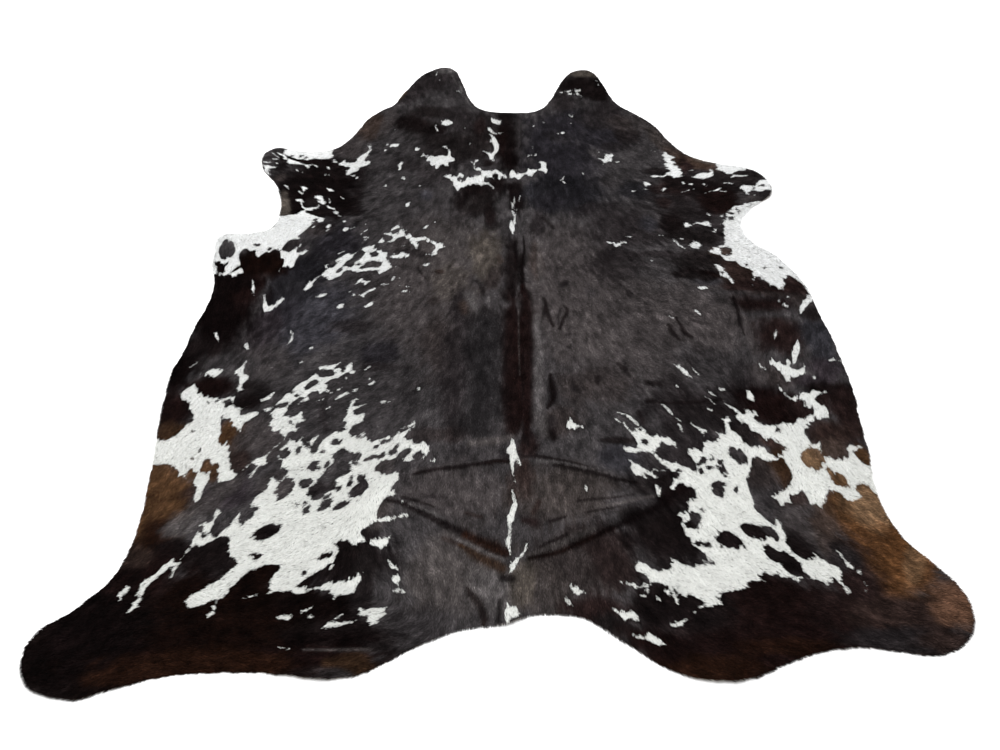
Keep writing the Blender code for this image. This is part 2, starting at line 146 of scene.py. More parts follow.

# ---- tone and sheen zones: the hair's own tones, and painted sheen where light glances off
# the short hair in lighter, greyer patches: x, y, half-width, half-length, strength (1 where it
# is left out), turn in degrees (0 where it is left out), tone; later ones lie over earlier
# ones, each fading softly at its rim ----
TONE_AND_SHEEN_ZONES = {
    "whole hide": """0,0,200,200,slate; -70,-104,50,18,sable; 62,-102,40,15,maroon""",
    "left back": """
-22,2,17,28,.9,smoke; -20,-40,12,14,.7,slate; -17,-23,6,11,.8,cocoa; -14,18,11,14,.5,dove;
-5.5,12,4.6,11,.8,fawn; -16,2,6,8,.4,fawn; -54,-12,12,14,.8,blue; -62,-9,5,9,.9,steel;
-67,-17,5,8,.8,plum; -51,18,8,9,.95,steel; -58,7,8,6,deep steel; -63,1,9,8,.9,deep steel;
-58,25,5,4,.6,cocoa; -43,-15.6,7,2.8,.8,char; -34,-25,6,4.6,.85,steel; -34,-30,6,1.6,.9,char;
-30,-36,6,6,.5,iron; -30,-44,8,4,.4,iron; -12,-9,3.2,9,.95,char; -9.4,-5,2.2,7,.5,dove;
-20,-6,1.8,1.4,.8,cocoa; -19,6,1.6,1.2,.8,umber; -13,-32,4.6,24,.9,char; -26,13.5,7,1.6,.7,-10,char;
-3,3,2.6,5,.95,-20,cocoa; -16,-51.6,8,2.4,.4,umber; -8,-57,8,2.6,.8,iron; -65,-28,7,6,.5,smoke;
-66,-38.6,4.6,3.2,.9,soot; -67,-42,4,2.6,ink; -47,-46,8,7,.4,iron; -40,4,6,4,.4,iron""",
    "right back": """
18,4,14,26,.9,smoke; 30,-14,22,24,.85,smoke; 22,-20,12,10,.2,dove; 58,-12,12,14,.9,smoke;
45,-4,10,8,.4,smoke; 40,24,13,9,.9,char; 34,8,9,6,.8,char; 46,27,3,4,.8,dusk; 47,13.4,8,1.8,.9,char;
36,13,6,3,.9,char; 44,5,5,3,.5,slate; 11,27,2.6,6,.9,char; 10,11,2,10,.5,bark; 19,-37,5,7,.7,cocoa;
27,-37,6,6,.6,cocoa; 36.8,-3,1,1.3,.9,char; 25.5,-2.5,2,2,.6,iron; 17.8,1,1,2,.9,-50,char;
56,-29,4.4,5.4,.9,-20,iron; 38,-47,4,5,.7,iron; 62,-4,4.6,3,.5,iron; 14,-48,5,5,.9,cocoa;
60,2,5,2,.6,dusk""",
    "spine": """
2.6,6,2.8,12,soot; 2.4,14,1.6,8,.6,ink; 2.6,-30,4,26,maroon; 2.4,-28,1.8,22,.6,wine;
6,-55,3,4,.95,wine""",
    "rump": """
-12,-68,14,8,.9,-5,smoke; 14,-68,14,8,.9,5,taupe; -12,-88,11,10,.9,dove; 18,-86,14,9,.9,cocoa;
8,-92,8,6,.7,taupe; -3,-92,5,6,.7,mist; 4,-90,3,6,.8,fawn; 24,-84,5,9,.75,20,wine;
-26,-84,4.4,14,.7,slate; -20,-101,11,4,1,18,iron; -27,-103,5,3,soot; 28,-58,6,5,.9,dusk; 29,-53.2,5,1,ink;
2,-66,1.6,5,.5,umber; 5,-63,3,4,.6,umber; 20,-96,8,4,wine; 24,-100,5,3,1,-30,soot; 33,-95,6,7,ink;
30,-103,6,2.6,1,-30,maroon; -22,-58,8,2.6,.5,iron""",
    "left haunch": """
-47,-62,20,14,.9,slate; -62,-54,7,7,.9,smoke; -66,-57,3,5,.6,cocoa; -55,-66,5,4,.8,smoke;
-36,-84,11,8,ink; -56,-88,9,6,sable; -55,-78.4,5,3.4,ink; -52,-97,18,7,sable; -30,-72,4,5,.7,taupe;
-31,-60,4,5,smoke; -31,-91,3,8,soot; -36,-101,12,3,ink; -40,-106,14,3,maroon; -31,-107.5,4,2,.9,russet;
-55,-108,12,2.4,peat; -44,-95,10,3,.8,black; -45,-66.8,3.4,2,1,10,char; -40,-66.4,3,1.8,.8,char;
-34,-67,3.4,3,.8,20,char; -39,-71.4,3,2,.8,10,char""",
    "left hind leg": """
-82,-78,9,20,.9,russet; -82,-69,8,11,brown; -79,-79,5,5,peat; -67,-67,7.4,6.4,.9,plum;
-68,-65,5,4,.7,dove; -73,-61.6,5,3.4,.9,brown; -74.4,-76,5,3.4,.75,30,mist; -70,-71,4,3,.6,dove;
-75,-83,6,4,ink; -66,-84,7,7,ink; -82,-90,12,8,maroon; -84,-84,5,2.6,.4,bark; -66,-98,18,7.4,sable;
-86,-101,14,12,black; -92,-106,10,9,black; -64,-108,20,3.6,peat; -80,-110,8,2,.9,4,peat;
-70,-92,6,4,.9,sable""",
    "left flank": """
-80,-10,11,24,black; -74,0,5,9,maroon; -84,-26,6,6,ink; -80,-24,4,3,.8,ink; -74,-29,7,4,.9,slate;
-66,6,4,6,.9,deep steel; -77,-36.4,7.4,4,maroon; -87,-34,3,8,black; -85,-44,5.4,8,maroon;
-84,-51,5,3.6,russet; -70,-52,2.6,6.4,1,-14,brown; -71,-22,3.4,4,.6,char;
-68.6,-54.6,2.8,8,.35,-10,russet; -64.6,-59,2.6,3,.8,umber""",
    "left foreleg": """
-61,45,18.6,17.6,black; -58,36,14.4,8.4,black; -47,44,2,14,.6,ink; -74,49.4,2.6,1.8,.8,50,cocoa;
-70.4,35,2.2,6,.85,10,fawn; -54,53,5,4,.6,ink; -60,37,4,4,.8,soot; -55,32,5,3,.9,ink;
-57,28.6,3,1.6,.9,slate; -76,9,7,8,sable; -69,9,6,8,sable; -84,15,4,6,1,10,slate; -85,7,3.6,4.4,black;
-65,16,3.6,4,.95,char; -79,2,8,4,black; -64,58,14,2.6,1,-3,black""",
    "left shoulder and neck": """
-33,45,12,16,.7,slate; -24,40,6,8,.4,iron; -25,41,2.4,2.6,.6,blue; -22,52,8,6,.7,char; -40,60,5,6,.6,iron;
-33,56,6,4,.7,char; -10,37,7,7.4,.95,ink; -8.5,43,7.4,4,ink; -7,36,2.8,8,1,-24,soot; -4,30,2.4,6,ink;
-14,30,5,4,.5,char; -13,66,11,12,.95,soot; -6,74,5,12,soot; -13,80,9,7,.8,char; -8,78,2,5,.7,wine;
-24,64,7,5,.85,soot; -27,73,10,5,1,-14,soot; -22,76,3,2.6,ink; -36,70,7,5,.6,slate; -34,63,8,5,.5,iron;
-27,86.6,10,5,1,-4,soot; -17,86,6,5,.8,char; -31,80,9.6,4.8,1,-12,ink; -37,89,6,4,.5,20,slate;
-47,78,4.6,9,.9,-14,bark; -41,80,2,9,.8,-12,smoke; -53,66,6,6,.9,-20,smoke; -56,64,4,3,.5,char;
-24,97,8,6,.7,slate; -26,106,10,7,char; -18,98,3,8,.8,20,iron; -33,98,3.6,7,1,-20,char;
-38.4,97,1.2,5,.8,-22,tan; -21,113,5,1.8,.65,mist; -6,57,4.5,2.2,ink; -2,47,3.4,6,ink;
-10,57,4,3,.8,iron""",
    "right shoulder and neck": """
18,68,12,22,steel; 22,55,13,9,.9,steel; 20,72,5,5,.4,iron; 1,70,4,19,ink; -.6,70,2,9,.6,maroon;
5.8,74,1.2,13,.8,char; 4.5,40,3,11,ink; 2.4,58,2.4,9,.9,black; 10,42,3.4,7,1,10,dusk;
22,41,15,10,deep steel; 15,37,6,4.4,.6,steel; 32,33,9,5,.7,char; 42,54,8,9,.8,slate;
43,43,8,5,.9,deep steel; 36,47,4,3,iron; 52,53,5,2,soot; 36,72,11,9,.95,steel; 44,72,4.6,5,.9,soot;
45,62,7,6,.5,slate; 48,80,7,6,.5,30,cocoa; 54.6,70,3,7,.9,24,taupe; 59,62,3.4,5,.9,30,bark;
22,92,7,6,.9,char; 31,91,6,6,.9,iron; 38.6,88,5,7,1,20,char; 25,80,9,8,.95,steel; 34,82,7,6,.8,char;
29,103.6,10.4,7,ink; 35,98,5.4,5,ink; 31,111,6,2.2,.75,fawn; 42,80,5,5,.7,cocoa; 39,66,5,3,.6,char""",
    "right foreleg": """
62,38,14,15,char; 57,45,8,5,wine; 67,46,15,9,ink; 56,34,6,8,.6,soot; 53,27,4.4,7,ink; 70,37,7,7,maroon;
84,40,7,3,char; 79,38.4,3.4,1.4,.9,20,smoke; 66,24,6,6,.9,char; 60,20,8,4,soot; 79,50,9,5,soot;
66,57,8,5,1,-14,bark; 66,57,8,5,.4,-14,russet; 69,58.6,5,2,.9,-20,fawn; 62,55,2.4,5,wine;
66,51.4,5,3,char; 52,37,2.4,3,.7,wine""",
    "right flank": """
60,11,9,6,soot; 56,5,8,2,ink; 61,4.4,4,2.2,black; 66,14.6,4,2,.9,bark; 70,6,6,8,umber; 78,-1,13,3.4,wine;
86,0,4,7,wine; 77,-18.6,7.6,8,wine; 86,-7,4,4,.8,cocoa; 87.4,-20,4.6,11,dusk; 88,-11,4,3,soot;
86,-30.5,5,3.6,.9,plum; 82,-34.4,7,2.2,.9,plum; 67,-35,7.4,7,char; 70,-32,4,4.4,.9,smoke;
74,-34,4,4,.7,cocoa; 86,-38,7,3,ink; 88,-46,4,9,wine; 62,-31,4,3,.6,iron""",
    "right haunch": """
49,-44,11.4,9,char; 50,-46,8,7,.8,soot; 64,-44,9,6.4,ink; 70,-43,9,6,maroon; 80,-43,6,4,.9,wine;
48,-60,14,12,.95,char; 60,-52,5,5,soot; 56,-79,12,10,ink; 37,-79,9.6,9.6,ink; 41,-68,5.4,4,ink;
33,-66,4,3,.9,soot; 63,-62,5,6,cocoa; 64,-73,5.4,7,iron; 71,-76,6.4,7.4,.95,smoke; 74,-80,3,6,.6,bark;
69,-69,4,3,.8,umber; 68,-60,3,7,russet; 67,-53,4,3,umber; 76,-58.3,3.6,4,tan; 81,-64.3,3.8,3.2,1,-50,tan;
82,-51,7,4.6,umber; 82,-56,4,3.4,.9,bark; 88.4,-58,2,4,brown; 67,-84,5,5.4,ink""",
    "right hind leg": """
81,-87,8,10,umber; 90.6,-84,7,12,1,-24,golden; 84,-73,9,8,golden; 86,-71,6,6,tan; 93,-84,2.4,9,.6,-30,tan;
75,-75,3,5,.9,bark; 79,-72,3,4,.6,brown; 76,-86,4,6,char; 78,-91,5,4,wine; 58,-97,17,8.4,maroon;
42,-96,9,6.4,ink; 74,-96,8,5,.9,wine; 72,-98,6,4,.5,maroon; 47,-105.4,15,5,maroon; 42,-108.6,11,3,peat;
34,-104,4,3,.9,maroon; 86,-97,12,4,umber; 97.6,-95,5,6,chestnut; 84,-102.8,13,2.6,char;
93,-102.6,6,2.4,.9,umber; 60,-104,10,2,.8,peat""",
}

# ---- painted shade in the skin's creases, painted highlights on their crests and beside the
# spine, and darker or lighter hair where the nap turns, each a soft band: tone, strength, then
# x,y,width at each place ----
CREASE_SHADE_AND_NAP = {
    "back": """
black .7 -25.6,7.5,.8 -24.6,5.5,1 -23,3,.7 / black .6 -9,2.4,1 -7.3,1.2,1.5 -5.5,-3.3,1.4 /
mist .8 -10,-3.3,2.4 -9.1,-6,2.6 -7.3,-11,.6 / bark .7 -11.5,-7,2.4 -11,-10,2 /
mist .8 -4.2,-4.4,1 -4.2,-6,1 / bark .6 -1.3,12.4,1.6 -1,10.2,1.6 /
lead .95 -5.2,-15,10 -5.2,-30,11 -5.4,-48,11 / ink .7 11.9,-7.5,.8 11.3,-11,1 10.6,-14,.8 /
ink .95 11.8,-5,.9 12.4,-10,1.5 13.8,-15.5,1.1 /
ink .95 17.5,-8.1,.9 18.2,-10,1.2 16.8,-13.2,1.2 15.7,-16.5,.9 /
char .8 16.3,-9,.8 15.6,-11.5,.8 15.4,-15,.8 /
black .95 12.4,-32.6,1.2 12.6,-37,2.4 12.9,-40,2.4 11.3,-43.4,1.1 / char .7 12.4,-46.5,1.8 12,-50,1.6 /
ink .8 24.8,-33.6,1.8 24.8,-35,1.8 / char .8 18.5,-37.5,1.9 /
char .7 16.5,-24.5,1 19,-27,1.4 21,-30.3,.8 / char .8 17.4,-18.6,1.1 20,-18.6,1 /
char .7 15,-21,.8 18,-23.4,.8 / soot .9 30.8,-28.6,1 32.2,-30.4,1.3 /
soot .8 32.2,-30.6,1.6 33.6,-33,1.2 / char .8 34.4,-35,.9 36.8,-38.4,1.2 /
mist .5 35.6,-31,.7 38.6,-40.6,1 / black .9 37.4,-41.2,1.5 38.8,-41,1.3 /
ink .85 38,-35.4,1.7 41,-35.6,2.1 / char .8 38.4,-43.6,1.8 / ink .8 34.6,-45,1.3 35.6,-48,1.3 /
black .9 48.8,-12.4,.9 49.8,-15.5,1.2 50.4,-18,1.9 52.3,-19.5,1 /
ink .9 46.4,-15,1.1 47,-17.6,1.3 48.6,-20.6,.9 / char .7 52.6,-13,1.2 55.6,-14,1.2 58,-14.6,.8 /
char .8 49.6,-24.6,.7 50.4,-29,.9 / char .7 52.6,-23.6,1.2 54,-25.6,1 /
ink .8 12.6,29.6,1.4 15,26,1.9 16,24.6,1 / char .6 30,14,2 31,4,2.4 /
char .7 -47.6,-21,.4 -47.2,-26.4,.7 / char .6 10.5,25,.8 10.8,21,.8 / mist .4 10.8,20,1.2 11,2,1.6 /
char .5 -12.5,-30,2 -13,-44,2.4""",
    "spine": """
black .95 6.2,21,.7 6.4,15.1,.8 5.7,9.7,1.3 5.5,4.8,1.5 5.7,1.2,1.6 5,-3.3,1 /
black .8 3.7,18,.7 3.8,13,1.1 3.7,6,1 / ink .7 2.4,9,.7 2.3,0,1.2 3,-4,1.4 /
maroon .96 5.6,-.6,1.4 6.3,-4,3.2 6.5,-10,3.8 6.6,-18,4.2 6.5,-28,3.8 6.3,-37,3.6 6.1,-44,3.4 5.7,-50,2.2
5.6,-52.4,1 /
maroon .7 2.4,-9,2.4 2.5,-16,3.6 2.3,-28,4.2 2.1,-40,4.6 1.9,-50,4.8 /
dove .35 4.2,-10,.4 4.2,-23,.4 4.25,-33,.4 /
mist .55 9.6,-12,1.6 9.4,-17,2.2 9.9,-22,2.1 9.6,-28.5,2.6 9.3,-37.5,2.5 9.2,-44,2.6 9.6,-51,2.2 /
black .7 5.2,-24,.8 5.1,-39,.9 / mist .2 6.2,84,.8 5.6,66,.6 / black .8 2.6,46,1.4 2.2,34,1""",
    "rump": """
dove .7 -8.2,-53.9,2 -3.7,-53.4,2.4 2,-52.3,1.8 / sable .9 1.4,-59.2,1.7 -1.5,-59.6,1.7 -4.4,-60.1,1.1 /
ink .95 -3.6,-60,1.2 -8,-60.7,1.1 -11.7,-61.4,1.2 -17,-62,1.2 -22,-63,.8 /
ink .9 4.3,-57.7,.9 8.4,-58.2,1.1 14.4,-59.6,1 20.3,-61.1,.7 /
mist .7 8,-59.3,.8 14,-60,.5 19.7,-61.5,.6 /
black .85 12,-60.4,.8 16.8,-61.5,1 22.1,-62.9,1.2 27,-64.3,1 32,-65.2,.8 /
dove .8 5.5,-83.5,.8 10.2,-82.1,1 16.8,-79.3,1.1 21,-77.2,.8 /
sable .95 5.6,-84.4,.8 12,-83,1.3 17.4,-80.6,1.4 25.1,-76.9,1.4 /
black .9 21,-78.8,1 27,-76,1.6 33,-73,1.8 38.6,-70.2,2.2 / ink .85 8,-82,.7 11,-80.7,.9 14.4,-79.1,.7 /
dove .7 22,-71.9,.9 27,-70.9,1 31.6,-69.6,.9 35.8,-68.8,.8 /
ink .8 17.4,-70,.8 26.3,-69.1,.9 31,-68.4,.6 / ink .75 19,-73,.7 27,-71.8,.7 /
ink .95 10.6,-75.4,1 14.6,-74,.8 / wine .9 4.6,-75,1.8 7,-75.6,2.6 / umber .8 8.2,-70.2,1.3 6.8,-73,1.3 /
umber .6 4.6,-60,3 5,-68,4 /
ink .95 -28.4,-69.6,.8 -24,-70.8,1.3 -20,-73,1.4 -14,-76.2,1.6 -8.6,-78.8,1.6 /
peat .95 -9,-79,1.5 -5,-80.9,2.4 -2,-82.3,2.8 .4,-83.2,1.8 /
ink .85 -24.6,-69,.6 -20,-70.6,.9 -16.6,-72,.7 / mist .7 -22.4,-71,.5 -18,-72.9,.6 -14,-75,.6 /
mist .85 -10.6,-80,.6 -6.4,-82.4,1.1 -3.4,-83.8,1.1 -.3,-85,.9 / umber .7 -14,-79.4,.8 -10,-81.4,1.1 /
russet .9 -10,-81.4,1.1 -6,-84,1.9 -3,-85.6,2.3 -.6,-86.8,2 /
sable .85 -8.2,-91.4,.8 -7.2,-93,1.6 -5.4,-95.2,2.2 -4.4,-98,2.2 -4.6,-99.6,1.5 /
black .8 -1.1,-94,1 -1.4,-98.5,1.3 / ink .9 -.3,-89,1.5 1.6,-89.2,1.7 /
char .8 -18.6,-68.8,1.2 -14,-68.9,1 / umber .7 -9,-73.2,.9 -5.4,-74.2,.9 /
ink .9 4.9,-51.6,1.1 6,-54.5,1.5 / ink .8 8.4,-54.5,1 6.6,-57,1.1 / ink .95 12.3,-50.6,2 12.5,-52.4,2.2 /
soot .9 25.2,-53,1.4 29,-53,2.2 34,-53.6,1.9""",
    "right flank": """
maroon .95 69,-7.2,5.8 76,-7.2,5.8 80,-7,5.6 /
black .9 66.4,-4.8,1 66.5,-9,1.3 66.6,-14,1.2 66.9,-18.8,.6 / slate .6 60,-3,1.2 71,-3.2,1.4 /
cocoa .7 71,-3.2,1.4 84,-3.6,1.4 / slate .75 68.4,-11.2,1.6 75,-11.2,1.7 83.4,-11.6,1.4 /
smoke .8 68,-12.6,1.8 68.2,-18,2 68.6,-25,2""",
    "haunches": """
soot .8 51.5,5.4,1.2 55,4.6,2 61,3.4,1.8 / ink .9 39,-41.8,.6 46,-42,1.2 57,-40.6,.9 /
ink .9 35.8,-66.4,1.6 40.5,-62.8,2.4 / black .9 37,-69.4,2 44,-66.4,2.6 /
char .8 -46.6,-40,1.1 -46.6,-45,1.9 -45,-50,1.3 / black .85 -45,-102.6,2.6 -34,-102.4,2.8 -27,-102.6,1.6 /
dove .6 -42,-104.7,.5 -28,-104.6,.6 / russet .8 -37,-107.4,2 -31,-107,2.6""",
    "neck": """
mist .6 -16.6,106,.6 -14.6,98,.6 -11.4,89.6,.6 / mist .4 -19.4,110.4,.7 -17,104,.6 /
smoke .3 -10,40,1.6 -13,31,1.8 / ink .8 -10.6,76,1.6 -7,70,1.2""",
}

